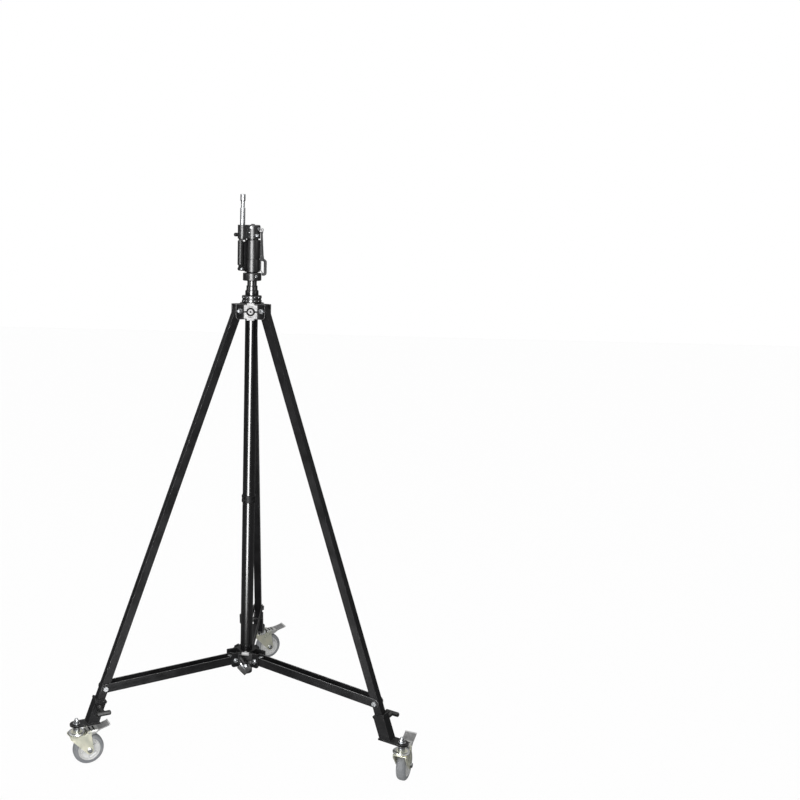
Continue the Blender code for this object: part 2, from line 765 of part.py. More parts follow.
def build_fork(side, swivel):
    ear = arc(pedal_pivot_x, pedal_pivot_height, pedal_ear_radius, 160, 0, 4)
    outline = ([(-fork_front, fork_bridge_top), (fork_back, fork_bridge_top)] + ear
               + [(pedal_pivot_x + pedal_ear_radius, fork_ear_bottom)]
               + arc(caster_trail, wheel_radius, fork_eye_radius, 15, -130, 5)
               + [(fork_front_chamfer - fork_front, fork_front_bottom - fork_front_chamfer),
                  (-fork_front, fork_front_bottom)])
    fork = prism("caster_fork_" + side, outline, -fork_outer, fork_outer, swivel,
                 finish="yellow_zinc")
    front = -fork_front - mm
    back = pedal_pivot_x + wheel_radius
    low = wheel_radius - fork_eye_radius - mm
    high = pedal_pivot_height + pedal_ear_radius + mm
    wall = fork_back + mm / 2
    hollow = [(front, fork_bridge_bottom), (front, low), (back, low), (back, high),
              (wall, high), (wall, fork_bridge_bottom)]
    cut(fork, prism("caster_fork_hollow_" + side, hollow, -fork_half, fork_half, swivel))
    race = race_diameter / 2
    dish = [(0, fork_bridge_top - mm), (race - 3 * mm, fork_bridge_top - mm),
            (race, fork_bridge_top + 2 * mm), (race - 2 * mm, race_top), (0, race_top)]
    add(fork, turned("caster_race_" + side, dish, medium_segments, swivel))
    pin = kingpin_diameter / 2 + hole_clearance
    drill(fork, swivel, pin, fork_bridge_bottom - mm, race_top + mm)
    drill(fork, swivel, axle_diameter / 2 + hole_clearance, -fork_outer - mm, fork_outer + mm,
          (caster_trail, 0, wheel_radius), along_y)
    drill(fork, swivel, pedal_pin_diameter / 2 + hole_clearance, -fork_outer - mm,
          fork_outer + mm, (pedal_pivot_x, 0, pedal_pivot_height), along_y)


def build_wheel(side, axle_place):
    tread = tread_width / 2
    core = wheel_radius - tyre_thickness
    rounding = 5 * mm
    shoulder = arc(wheel_radius - rounding, tread - rounding, rounding, 90, 0, 2)
    crown = [(radius, -across) for radius, across in reversed(shoulder)]
    tyre = [(core, tread)] + shoulder + crown + [(core, -tread)]
    turned("caster_tyre_" + side, tyre, fine_segments, axle_place, rotation=along_y,
           finish="grey_rubber")
    rim = core - seat_gap
    bore = axle_diameter / 2 + hole_clearance
    hub = wheel_hub_diameter / 2
    hub_half = fork_half - seat_gap
    rim_inner = rim - 5 * mm
    web = 5 * mm
    half_profile = [(bore, hub_half), (hub - 3 * mm, hub_half), (hub, web + 2 * mm),
                    (rim_inner, web), (rim_inner, tread), (rim, tread)]
    other_half = [(radius, -across) for radius, across in reversed(half_profile)]
    turned("caster_core_" + side, half_profile + other_half, fine_segments, axle_place,
           rotation=along_y, finish="pale_plastic")
    shank = axle_diameter / 2
    face = fork_outer + seat_gap
    head = axle_head_width / 2
    end = face + bolt_head_height
    turned("caster_axle_" + side, [
        (0, -end), (head, -end), (head, -face), (shank, -face), (shank, face), (head, face),
        (head, end), (0, end)], small_segments, axle_place, rotation=along_y, finish="zinc")


def build_pedal(side, swivel):
    pivot = make_empty("caster_pedal_axis_" + side, swivel,
                       (pedal_pivot_x, 0, pedal_pivot_height))
    knuckle_half = fork_half - seat_gap
    rise = pedal_rise
    start = pedal_start - pedal_pivot_x
    reach = pedal_reach - pedal_pivot_x
    slope = (rise - 3 * mm) / (reach - start)

    def top_at(along):
        return 3 * mm + pedal_thickness / 2 + (along - start) * slope

    bottom_start = top_at(start) - pedal_thickness
    arm = (arc(0, 0, pedal_knuckle_radius, 80, 290, 7)
           + [(start + 4 * mm, bottom_start - 1 * mm), (start + 8 * mm, top_at(start) - mm),
              (start, top_at(start) - mm)])
    pedal = prism("caster_pedal_" + side, arm, -knuckle_half, knuckle_half, pivot,
                  finish="pedal_plastic")
    pad = [(start, bottom_start), (reach - 2 * mm, top_at(reach) - pedal_thickness),
           (reach, top_at(reach) - pedal_thickness + 2 * mm)]
    pitch = (reach - start) / pedal_rib_count
    for index in reversed(range(pedal_rib_count)):
        low = start + index * pitch
        for share, lift in ((0.9, 0.0), (0.75, 1.0), (0.35, 1.0), (0.2, 0.0)):
            along = low + share * pitch
            pad.append((along, top_at(along) + lift * pedal_rib))
    pad.append((start, top_at(start)))
    half = pedal_width / 2
    add(pedal, prism("caster_pad_" + side, pad, -half, half, pivot))
    # The metal sides under the tread, behind the fork's ears.
    skirt = [(9 * mm, 0), (18 * mm, -14 * mm), (46 * mm, -3 * mm), (reach - 3 * mm, 3.5 * mm),
             (reach - 3 * mm, top_at(reach) - 2 * mm), (start + mm, top_at(start) - 2 * mm)]
    for near, far in ((fork_half, fork_outer), (-fork_outer, -fork_half)):
        add(pedal, prism("caster_pedal_side_" + side, skirt, near, far, pivot))
    pin_end = fork_outer + mm
    add(pedal, turned("caster_pedal_pin_" + side, rod_profile(pedal_pin_diameter / 2, -pin_end,
                                                              pin_end),
                      small_segments, pivot, rotation=along_y))


def build_mast(stand):
    stage_two_frame = make_empty("stage_two_frame", stand)
    turned("stage_two", tube_profile(stage_two_radius, stage_two_bore,
                                     stage_two_top - stage_length, stage_two_top),
           fine_segments, stage_two_frame)
    build_bush("stage_one_bush", stage_two_frame, stage_two_bore, stage_one_radius, stage_two_top)
    stage_one_frame = make_empty("stage_one_frame", stage_two_frame)
    tube_top = head_bottom + head_collar_height
    turned("stage_one", tube_profile(stage_one_radius, stage_one_bore, tube_top - stage_length,
                                     tube_top), fine_segments, stage_one_frame)
    outer = head_collar_diameter / 2
    bore = stage_one_radius + seat_gap
    chamfer = 1.5 * mm
    turned("head_lower_collar", [
        (outer - chamfer, head_bottom), (outer, head_bottom + chamfer),
        (outer, tube_top - chamfer), (outer - chamfer, tube_top), (bore, tube_top),
        (bore, head_bottom)], fine_segments, stage_one_frame)
    return stage_one_frame


def build_head(stage_one_frame):
    head = make_empty("head_frame", stage_one_frame)
    collar_end = head_bottom + head_collar_height
    neck_base = collar_end + seat_gap
    lower_base = collar_end + head_neck_height
    groove_base = lower_base + head_lower_height
    upper_base = groove_base + head_groove
    body_top = upper_base + head_upper_height
    radius = head_diameter / 2
    groove_radius = radius - 2.5 * mm
    neck = head_neck_diameter / 2
    pin = stage_one_bore - seat_gap
    cap_bottom = body_top + cap_gap
    body = turned("head_body", [
        (0, collar_end - head_pin_length), (pin, collar_end - head_pin_length),
        (pin, neck_base), (neck, neck_base), (neck, lower_base), (radius - mm, lower_base),
        (radius, lower_base + mm), (radius, groove_base), (groove_radius, groove_base),
        (groove_radius, upper_base), (radius, upper_base), (radius, body_top - mm),
        (radius - mm, body_top), (neck, body_top), (neck, cap_bottom - seat_gap),
        (0, cap_bottom - seat_gap)], fine_segments, head)
    side_frame = arm_frame("side_lever_frame", head, socket_azimuth)
    build_side_lever(side_frame, body, body_top)
    build_cap(head, side_frame, cap_bottom, collar_end)


def build_cap(head, side_frame, cap_bottom, collar_end):
    radius = head_diameter / 2
    cap_top = cap_bottom + cap_height
    nub = cap_nub_diameter / 2
    cap = turned("head_cap", [
        (0, cap_bottom), (radius, cap_bottom), (radius, cap_top - cap_chamfer),
        (radius - cap_chamfer, cap_top), (nub, cap_top), (nub - 2 * mm, cap_top + cap_nub_height),
        (0, cap_top + cap_nub_height)], fine_segments, head)
    socket = socket_diameter / 2
    add(cap, turned("head_socket", rod_profile(socket, cap_bottom, cap_top), medium_segments,
                    side_frame, (socket_radius, 0, 0)))
    half = socket_web / 2
    web_low = cap_bottom + 2 * mm
    web_high = cap_top - 5 * mm
    add(cap, prism("head_socket_web", [(10 * mm, -half), (socket_radius, -half),
                                       (socket_radius, half), (10 * mm, half)],
                   web_low, web_high, side_frame, along="z"))
    bore = spigot_diameter / 2 + hole_clearance
    drill(cap, side_frame, bore, cap_bottom + socket_floor, cap_top + mm, (socket_radius, 0, 0),
          segments=medium_segments)
    spigot_base = cap_bottom + socket_floor + seat_gap
    spigot_top = spigot_base + spigot_length
    pin = spigot_diameter / 2
    groove = pin - spigot_groove_depth
    groove_top = spigot_top - spigot_groove_from_top
    groove_base = groove_top - spigot_groove_height
    turned("spigot", [
        (0, spigot_base), (pin, spigot_base), (pin, groove_base), (groove, groove_base + 2 * mm),
        (groove, groove_top - 2 * mm), (pin, groove_top), (pin, spigot_top - mm),
        (pin - mm, spigot_top), (0, spigot_top)], medium_segments, side_frame,
        (socket_radius, 0, 0), finish="zinc")
    build_knob(cap, side_frame, cap_bottom)
    build_pull_lever(head, cap, cap_bottom, collar_end)


def build_knob(cap, side_frame, cap_bottom):
    axis = make_empty("spigot_lock_axis", side_frame, (0, 0, cap_bottom + knob_height))
    shank = knob_shank_diameter / 2
    tip = socket_radius + spigot_diameter / 2 + seat_gap
    outside = socket_radius + socket_diameter / 2
    drill(cap, axis, shank + hole_clearance, socket_radius + mm, outside + mm, rotation=along_x)
    head_start = outside + seat_gap
    knob = knob_diameter / 2
    turned("spigot_lock_knob", [
        (0, tip), (shank, tip), (shank, head_start), (knob - mm, head_start),
        (knob, head_start + 2 * mm), (knob, head_start + knob_length - 2 * mm),
        (knob - 2 * mm, head_start + knob_length), (0, head_start + knob_length)],
        small_segments, axis, rotation=along_x, finish="black_plastic")


def build_side_lever(side_frame, body, body_top):
    height = body_top - side_axle_drop
    axis = make_empty("side_lever_axis", side_frame, (0, 0, height))
    axle = side_axle_diameter / 2
    surface = head_diameter / 2
    drill(body, axis, axle + hole_clearance, side_axle_depth - mm, surface + mm, rotation=along_x)
    inner = surface + side_arm_gap
    outer = inner + side_arm_thickness
    half = side_arm_width / 2
    outline = arc(0, 0, half, 0, 180, 8) + arc(0, -side_arm_length, half, 180, 360, 8)
    arm = prism("side_lever_arm", outline, inner, outer, axis, along="x")
    add(arm, turned("side_lever_axle", rod_profile(axle, side_axle_depth, inner + mm),
                    medium_segments, axis, rotation=along_x))
    grip_axis_x = outer + grip_offset
    tongue = grip_tongue / 2
    gap = tongue + seat_gap
    cheek = ([(outer - mm, -side_arm_length - cheek_radius)]
             + arc(grip_axis_x, -side_arm_length, cheek_radius, -90, 90, 6)
             + [(outer - mm, cheek_radius - side_arm_length)])
    add(arm, prism("side_lever_cheeks", cheek, -half, half, axis))
    slot_low = -side_arm_length - half - mm
    slot = [(outer + 0.6 * mm, slot_low), (grip_axis_x + half + mm, slot_low),
            (grip_axis_x + half + mm, half - side_arm_length),
            (outer + 0.6 * mm, half - side_arm_length)]
    cut(arm, prism("side_lever_slot", slot, -gap, gap, axis))
    pin = grip_pin_diameter / 2
    drill(arm, axis, pin + hole_clearance, -half - mm, half + mm,
          (grip_axis_x, 0, -side_arm_length), along_y)
    grip_axis = make_empty("side_grip_axis", axis, (grip_axis_x, 0, -side_arm_length))
    radius = grip_diameter / 2
    end = side_arm_length + grip_past_axle
    grip = turned("side_lever_grip", [
        (0, grip_start), (radius - mm, grip_start), (radius, grip_start + mm),
        (radius, end - 2 * mm), (radius - 2 * mm, end), (0, end)], medium_segments, grip_axis,
        finish="black_plastic")
    eye = cheek_radius - mm
    tongue_outline = [(-eye, grip_start + 2 * mm)] + arc(0, 0, eye, 180, 360, 8) + [
        (eye, grip_start + 2 * mm)]
    add(grip, prism("side_grip_tongue", tongue_outline, -tongue, tongue, grip_axis))
    add(grip, turned("side_grip_pin", rod_profile(pin, -half - mm, half + mm), small_segments,
                     grip_axis, rotation=along_y))


def build_pull_lever(head, cap, cap_bottom, collar_end):
    pivot_height = cap_bottom + lever_pivot_rise
    pivot = make_empty("pull_lever_axis", head, (lever_pivot_radius, 0, pivot_height))
    slot = lever_thickness / 2 + lever_side_play
    ear_outer_face = slot + lever_ear_thickness
    ear = ([(10 * mm, pivot_height - 8 * mm)]
           + arc(lever_pivot_radius, pivot_height, lever_eye_radius, -80, 90, 7)
           + [(10 * mm, pivot_height + lever_eye_radius)])
    add(cap, prism("pull_lever_ears", ear, -ear_outer_face, ear_outer_face, head))
    slot_floor = lever_pivot_radius - lever_eye_radius - 1.5 * mm
    opening = [(slot_floor, cap_bottom - mm), (60 * mm, cap_bottom - mm),
               (60 * mm, cap_bottom + cap_height + mm), (slot_floor, cap_bottom + cap_height + mm)]
    cut(cap, prism("pull_lever_slot", opening, -slot, slot, head))
    pin = lever_pin_diameter / 2
    drill(cap, head, pin + hole_clearance, -ear_outer_face - mm, ear_outer_face + mm,
          (lever_pivot_radius, 0, pivot_height), along_y)
    inner = head_diameter / 2 + lever_body_gap - lever_pivot_radius
    inner_low = head_collar_diameter / 2 + lever_body_gap - lever_pivot_radius
    bottom = collar_end - loop_collar_overlap - pivot_height
    top = bottom + loop_height
    step = collar_end + loop_step_rise - pivot_height
    step_end = step + inner_low - inner
    outer = loop_outer - lever_pivot_radius
    neck_outer = inner + lever_neck
    corner = 8 * mm
    outline = ([(inner, step_end), (inner_low, step), (inner_low, bottom + 2 * mm),
                (inner_low + 2 * mm, bottom)]
               + arc(outer - corner, bottom + corner, corner, -90, 0, 4)
               + arc(outer - corner, top - corner, corner, 0, 60, 3)
               + [(neck_outer, top + 3 * mm), (lever_eye_radius - 2 * mm, -14 * mm)]
               + arc(0, 0, lever_eye_radius, -20, 180, 8)
               + [(-lever_eye_radius, -4 * mm), (inner, -12 * mm)])
    half = lever_thickness / 2
    lever = prism("pull_lever", outline, -half, half, pivot)
    hole_in = inner + loop_inner_bar
    hole_low = inner_low + loop_inner_bar
    hole_out = outer - loop_outer_bar
    low = bottom + loop_end_bar
    high = top - loop_top_bar
    opening_outline = [(hole_low, low), (hole_out - 2 * mm, low), (hole_out, low + 2 * mm),
                       (hole_out, high - 2 * mm), (hole_out - 2 * mm, high), (hole_in, high),
                       (hole_in, step_end), (hole_low, step)]
    cut(lever, prism("pull_lever_opening", opening_outline, -half - mm, half + mm, pivot))
    add(lever, turned("pull_lever_pin", rod_profile(pin, -ear_outer_face, ear_outer_face),
                      small_segments, pivot, rotation=along_y))


def world_box():
    # The corners of all the finished solids, tools and empties left out.
    bpy.context.view_layer.update()
    depsgraph = bpy.context.evaluated_depsgraph_get()
    low = Vector((inf, inf, inf))
    high = -low
    for item in bpy.data.objects:
        if item.type != "MESH" or item.hide_render:
            continue
        shape = item.evaluated_get(depsgraph)
        for vertex in shape.data.vertices:
            point = shape.matrix_world @ vertex.co
            low = Vector(map(min, low, point))
            high = Vector(map(max, high, point))
    return low, high


def build_stand():
    clear_scene()
    stand = make_empty("stand")
    build_column(stand)
    build_bush("stage_two_bush", stand, column_bore, stage_two_radius, column_top)
    build_top_hub(stand)
    build_top_collar(stand)
    build_mid_ring(stand)
    hub_frame = make_empty("lower_hub_frame", stand, (0, 0, lower_pivot_height))
    build_lower_hub(hub_frame)
    for side, azimuth in leg_azimuths.items():
        build_brace(side, azimuth, hub_frame)
        build_leg(side, azimuth, stand)
        build_caster(side, azimuth, stand)
    build_head(build_mast(stand))
    low, high = world_box()
    stand.location = (-(low.x + high.x) / 2, -(low.y + high.y) / 2, -low.z)
    bpy.context.view_layer.update()


build_stand()
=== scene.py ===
# Looks of a rolling lighting stand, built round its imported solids.
# Lengths are in millimetres until mm turns them into metres.

from math import asin, cos, degrees, pi, radians, sin, sqrt

import bmesh
import bpy
from mathutils import Matrix, Vector


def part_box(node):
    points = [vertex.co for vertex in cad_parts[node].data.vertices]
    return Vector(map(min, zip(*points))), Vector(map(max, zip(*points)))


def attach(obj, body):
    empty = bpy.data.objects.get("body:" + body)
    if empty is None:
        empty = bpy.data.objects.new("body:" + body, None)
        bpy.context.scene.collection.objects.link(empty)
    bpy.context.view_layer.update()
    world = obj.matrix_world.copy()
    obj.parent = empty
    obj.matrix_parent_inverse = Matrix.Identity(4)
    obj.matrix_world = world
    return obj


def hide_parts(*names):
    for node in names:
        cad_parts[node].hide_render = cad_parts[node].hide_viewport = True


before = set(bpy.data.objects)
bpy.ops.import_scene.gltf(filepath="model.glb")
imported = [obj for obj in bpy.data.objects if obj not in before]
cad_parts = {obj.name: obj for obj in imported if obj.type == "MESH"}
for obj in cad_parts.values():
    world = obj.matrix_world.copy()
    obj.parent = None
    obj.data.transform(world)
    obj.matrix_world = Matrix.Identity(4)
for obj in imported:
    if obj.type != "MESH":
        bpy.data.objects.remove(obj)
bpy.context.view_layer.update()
mm = 0.001
sides = ("left", "right", "back")
legAngles = {"left": 210, "right": 330, "back": 90}   # degrees round the column
trailAngles = {"left": 30, "right": 71, "back": 30}   # which way each caster trails
seatGap = 0.3        # between a piece and what it is seated on
sharpAngle = radians(33)

columnLow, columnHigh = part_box("centre_column")
columnFoot = 215
standPlace = Matrix.Translation(((columnLow.x + columnHigh.x) / 2,
                                 (columnLow.y + columnHigh.y) / 2,
                                 columnLow.z - columnFoot * mm))
# They lay an outline's u, v and depth along x, z and y, or along y, z and x.
turnAlongY = Matrix(((1, 0, 0, 0), (0, 0, 1, 0), (0, 1, 0, 0), (0, 0, 0, 1)))
turnAlongX = Matrix(((0, 0, 1, 0), (1, 0, 0, 0), (0, 1, 0, 0), (0, 0, 0, 1)))


# Node groups that several finishes share

def newGroup(name, inlets, outlets):
    # An inlet's first value tells its kind: a number, a vector of 3 or a colour of 4.
    group = bpy.data.node_groups.new(name, "ShaderNodeTree")
    for label, value in inlets.items():
        kind = "Float" if isinstance(value, float) else {3: "Vector", 4: "Color"}[len(value)]
        socket = group.interface.new_socket(name=label, in_out="INPUT",
                                            socket_type="NodeSocket" + kind)
        socket.default_value = value
    for label in outlets:
        kind = "NodeSocketColor" if label == "Colour" else "NodeSocketFloat"
        group.interface.new_socket(name=label, in_out="OUTPUT", socket_type=kind)
    inner = group.nodes.new("NodeGroupInput"), group.nodes.new("NodeGroupOutput")
    return group, inner[0].outputs, inner[1].inputs


def addNode(tree, kind, settings=None, **values):
    node = tree.nodes.new(kind)
    for key, value in (settings or {}).items():
        setattr(node, key, value)
    for key, value in values.items():
        node.inputs[key].default_value = value
    return node


def feed(tree, value, socket):
    # Links another socket in, or sets a plain number or a colour of three.
    if isinstance(value, bpy.types.NodeSocket):
        tree.links.new(value, socket)
    else:
        socket.default_value = (*value, 1) if isinstance(value, tuple) else value


def addNoise(tree, vector, scale, detail=3.0):
    noise = addNode(tree, "ShaderNodeTexNoise", Detail=detail)
    feed(tree, vector, noise.inputs["Vector"])
    feed(tree, scale, noise.inputs["Scale"])
    return noise.outputs["Fac"]


def addSpan(tree, value, low, high, toLow=0.0, toHigh=1.0):
    span = addNode(tree, "ShaderNodeMapRange", **{
        "From Min": low, "From Max": high, "To Min": toLow, "To Max": toHigh})
    feed(tree, value, span.inputs["Value"])
    return span.outputs["Result"]


def addMath(tree, operation, first, second, clamp=False):
    node = addNode(tree, "ShaderNodeMath", {"operation": operation, "use_clamp": clamp})
    feed(tree, first, node.inputs[0])
    feed(tree, second, node.inputs[1])
    return node.outputs[0]


def addMix(tree, share, first, second):
    mix = addNode(tree, "ShaderNodeMix", {"data_type": "RGBA"})
    for label, value in (("Factor", share), ("A", first), ("B", second)):
        feed(tree, value, mix.inputs[label])
    return mix.outputs["Result"]


midGrey = (0.5, 0.5, 0.5, 1)


def makePatchesGroup():
    # Two tones in soft patches with a fine grain: paint, plating, plastic and rubber.
    group, inlet, outlet = newGroup("patches", {
        "Colour": midGrey, "Second Colour": midGrey, "Patch Scale": 20.0,
        "Grain Scale": 900.0, "Grain Amount": 0.3, "Roughness": 0.4,
        "Roughness Spread": 0.1}, ["Colour", "Roughness", "Height"])
    place = group.nodes.new("ShaderNodeTexCoord").outputs["Object"]
    patch = addSpan(group, addNoise(group, place, inlet["Patch Scale"]), 0.35, 0.65)
    grain = addNoise(group, place, inlet["Grain Scale"], 2.0)
    grained = addMath(group, "MULTIPLY_ADD", grain, inlet["Grain Amount"])
    group.links.new(patch, grained.node.inputs[2])
    share = addMath(group, "MULTIPLY", grained, 0.8, clamp=True)
    colour = addMix(group, share, inlet["Colour"], inlet["Second Colour"])
    group.links.new(colour, outlet["Colour"])
    swing = addMath(group, "SUBTRACT", patch, 0.5)
    spread = addMath(group, "MULTIPLY", swing, inlet["Roughness Spread"])
    group.links.new(addMath(group, "ADD", inlet["Roughness"], spread, clamp=True),
                    outlet["Roughness"])
    group.links.new(grain, outlet["Height"])
    return group


def makeRubGroup():
    # Fine marks drawn out along one direction, from sliding, polishing or brushing.
    group, inlet, outlet = newGroup("rubMarks", {
        "Stretch": (40, 40, 2), "Scale": 20.0, "Threshold": 0.6, "Amount": 1.0}, ["Mask"])
    place = group.nodes.new("ShaderNodeTexCoord").outputs["Object"]
    stretched = addNode(group, "ShaderNodeVectorMath", {"operation": "MULTIPLY"})
    group.links.new(place, stretched.inputs[0])
    group.links.new(inlet["Stretch"], stretched.inputs[1])
    lines = addNoise(group, stretched.outputs[0], inlet["Scale"], 4.0)
    past = addMath(group, "SUBTRACT", lines, inlet["Threshold"])
    mask = addMath(group, "MULTIPLY", past, 8.0, clamp=True)
    group.links.new(addMath(group, "MULTIPLY", mask, inlet["Amount"]),
                    outlet["Mask"])
    return group


def makeDustGroup():
    # Pale dust that lies on what faces up, broken up by noise.
    group, inlet, outlet = newGroup("dust", {
        "Colour": midGrey, "Dust Colour": (0.35, 0.34, 0.32, 1), "Amount": 0.3,
        "Roughness": 0.4}, ["Colour", "Roughness"])
    facing = addNode(group, "ShaderNodeSeparateXYZ")
    group.links.new(group.nodes.new("ShaderNodeNewGeometry").outputs["Normal"], facing.inputs[0])
    place = group.nodes.new("ShaderNodeTexCoord").outputs["Object"]
    specks = addSpan(group, addNoise(group, place, 160.0, 5.0), 0.38, 0.7)
    upward = addSpan(group, facing.outputs["Z"], 0.55, 1.0)
    mask = addMath(group, "MULTIPLY", addMath(group, "MULTIPLY", specks, upward),
                   inlet["Amount"], clamp=True)
    colour = addMix(group, mask, inlet["Colour"], inlet["Dust Colour"])
    group.links.new(colour, outlet["Colour"])
    group.links.new(addMath(group, "ADD", inlet["Roughness"],
                            addMath(group, "MULTIPLY", mask, 0.5), clamp=True),
                    outlet["Roughness"])
    return group


patchesGroup = makePatchesGroup()
rubGroup = makeRubGroup()
dustGroup = makeDustGroup()

usualLook = {"grain": 0.3, "spread": 0.1, "dust": 0.05, "metallic": 0.0, "specular": 0.5}


def makeFinish(name, changes):
    # Patches first, then marks of a third tone, then dust, all into one Principled shader.
    look = {**usualLook, **changes}
    material = bpy.data.materials.new(name)
    material.use_nodes = True
    tree = material.node_tree
    shader = tree.nodes["Principled BSDF"]
    shader.inputs["Metallic"].default_value = look["metallic"]
    shader.inputs["Specular IOR Level"].default_value = look["specular"]
    first, second = look["tones"]
    patchScale, grainScale = look["scales"]
    patches = addNode(tree, "ShaderNodeGroup", {"node_tree": patchesGroup}, **{
        "Colour": (*first, 1), "Second Colour": (*second, 1), "Patch Scale": patchScale,
        "Grain Scale": grainScale, "Grain Amount": look["grain"],
        "Roughness": look["roughness"], "Roughness Spread": look["spread"]})
    colour = patches.outputs["Colour"]
    if "rub" in look:
        marks = addNode(tree, "ShaderNodeGroup", {"node_tree": rubGroup}, **look["rub"])
        colour = addMix(tree, marks.outputs["Mask"], colour, look["rubTone"])
    dust = addNode(tree, "ShaderNodeGroup", {"node_tree": dustGroup}, Amount=look["dust"])
    tree.links.new(colour, dust.inputs["Colour"])
    tree.links.new(patches.outputs["Roughness"], dust.inputs["Roughness"])
    tree.links.new(dust.outputs["Colour"], shader.inputs["Base Color"])
    tree.links.new(dust.outputs["Roughness"], shader.inputs["Roughness"])
    bump = addNode(tree, "ShaderNodeBump", Strength=look["bump"], Distance=0.4 * mm)
    tree.links.new(patches.outputs["Height"], bump.inputs["Height"])
    tree.links.new(bump.outputs["Normal"], shader.inputs["Normal"])
    return material


looks = {
    "blackPaint": {       # satin powder coat of the legs, braces and castings
        "slot": "black_paint", "tones": ((0.0095, 0.0095, 0.01), (0.015, 0.015, 0.016)),
        "scales": (18, 1500), "grain": 0.35, "roughness": 0.42, "spread": 0.12, "bump": 0.25,
        "dust": 0.03, "specular": 0.12,
        "rub": {"Stretch": (30, 30, 3), "Scale": 14, "Threshold": 0.66, "Amount": 0.2},
        "rubTone": (0.045, 0.045, 0.045)},
    "paintedEdgeHighlight": {        # a painted highlight: the same paint made lighter along bevelled edges
        "slot": "black_paint", "tones": ((0.16, 0.16, 0.165), (0.3, 0.3, 0.3)),
        "scales": (45, 1500), "roughness": 0.35, "spread": 0.12, "bump": 0.1, "specular": 0.4},
    "blackGloss": {       # smoother paint of the telescopic tubes
        "slot": "black_paint", "tones": ((0.005, 0.005, 0.0055), (0.008, 0.008, 0.009)),
        "scales": (9, 1100), "roughness": 0.2, "spread": 0.05, "bump": 0.06, "dust": 0.02,
        "specular": 0.95,
        "rub": {"Stretch": (60, 60, 1.2), "Scale": 12, "Threshold": 0.62, "Amount": 0.1},
        "rubTone": (0.04, 0.04, 0.04)},
    "satinBlack": {       # duller paint of the head and its collars
        "slot": "black_paint", "tones": ((0.007, 0.007, 0.0075), (0.011, 0.011, 0.012)),
        "scales": (14, 1200), "roughness": 0.33, "bump": 0.12, "dust": 0.02, "specular": 0.6,
        "rub": {"Stretch": (40, 40, 2), "Scale": 12, "Threshold": 0.62, "Amount": 0.1},
        "rubTone": (0.04, 0.04, 0.04)},
    "zinc": {             # bolts, nuts, spigot and caster stems
        "slot": "zinc", "tones": ((0.42, 0.43, 0.44), (0.32, 0.33, 0.34)), "scales": (90, 1800),
        "grain": 0.2, "roughness": 0.28, "spread": 0.06, "bump": 0.03, "metallic": 1.0},
    "brightPlate": {      # pale satin face plates
        "slot": "bright_plate", "tones": ((0.76, 0.76, 0.76), (0.66, 0.66, 0.67)),
        "scales": (60, 1600), "grain": 0.2, "roughness": 0.4, "bump": 0.06, "dust": 0.04,
        "specular": 0.2,
        "rub": {"Stretch": (4, 4, 120), "Scale": 14, "Threshold": 0.55, "Amount": 0.3},
        "rubTone": (0.5, 0.5, 0.5)},
    "yellowZinc": {       # the forks' pale plating, faintly yellow and green
        "slot": "yellow_zinc", "tones": ((0.68, 0.7, 0.58), (0.76, 0.74, 0.6)),
        "scales": (34, 1500), "grain": 0.25, "roughness": 0.33, "spread": 0.14, "bump": 0.1,
        "dust": 0.08, "metallic": 0.45,
        "rub": {"Stretch": (18, 18, 30), "Scale": 9, "Threshold": 0.62, "Amount": 0.35},
        "rubTone": (0.62, 0.68, 0.58)},
    "greyRubber": {       # tyres, with a dusty tread
        "slot": "grey_rubber", "tones": ((0.25, 0.262, 0.28), (0.33, 0.34, 0.35)),
        "scales": (40, 1300), "grain": 0.4, "roughness": 0.62, "spread": 0.14, "bump": 0.3,
        "dust": 0.15, "specular": 0.3,
        "rub": {"Stretch": (8, 8, 8), "Scale": 22, "Threshold": 0.6, "Amount": 0.4},
        "rubTone": (0.25, 0.25, 0.25)},
    "palePlastic": {      # wheel cores
        "slot": "pale_plastic", "tones": ((0.74, 0.75, 0.75), (0.84, 0.84, 0.83)),
        "scales": (30, 1200), "roughness": 0.36, "bump": 0.12, "dust": 0.1, "specular": 0.4},
    "pedalPlastic": {     # plated sheet of the brake pedals
        "slot": "pedal_plastic", "tones": ((0.46, 0.47, 0.46), (0.58, 0.58, 0.56)),
        "scales": (50, 1200), "roughness": 0.38, "spread": 0.12, "bump": 0.15, "dust": 0.1,
        "metallic": 0.3},
    "blackPlastic": {     # handles, knobs, bushes and the column's foot plug
        "slot": "black_plastic", "tones": ((0.009, 0.009, 0.009), (0.015, 0.015, 0.015)),
        "scales": (26, 1400), "grain": 0.4, "roughness": 0.4, "bump": 0.3, "specular": 0.35},
    "greyCast": {         # bare casting of the lower hub's clamp
        "slot": "zinc", "tones": ((0.035, 0.035, 0.036), (0.06, 0.06, 0.06)),
        "scales": (60, 1300), "grain": 0.4, "roughness": 0.4, "spread": 0.12, "bump": 0.2,
        "metallic": 0.4},
    "pedalRubber": {      # ribbed grey tread of the brake pedal
        "slot": "pedal_plastic", "tones": ((0.3, 0.3, 0.3), (0.42, 0.42, 0.42)),
        "scales": (50, 1200), "roughness": 0.5, "spread": 0.12, "bump": 0.2, "dust": 0.1,
        "specular": 0.35},
    "paintedHoleShade": {         # painted shade: a near-black laid in sockets, slots and gaps where shade falls
        "slot": "black_paint", "tones": ((0.005, 0.005, 0.005), (0.008, 0.008, 0.008)),
        "scales": (60, 1500), "roughness": 0.7, "bump": 0.1, "dust": 0.0, "specular": 0.1},
}
finishes = {name: makeFinish(name, look) for name, look in looks.items()}
print("finishes", len(finishes))


# Shapes

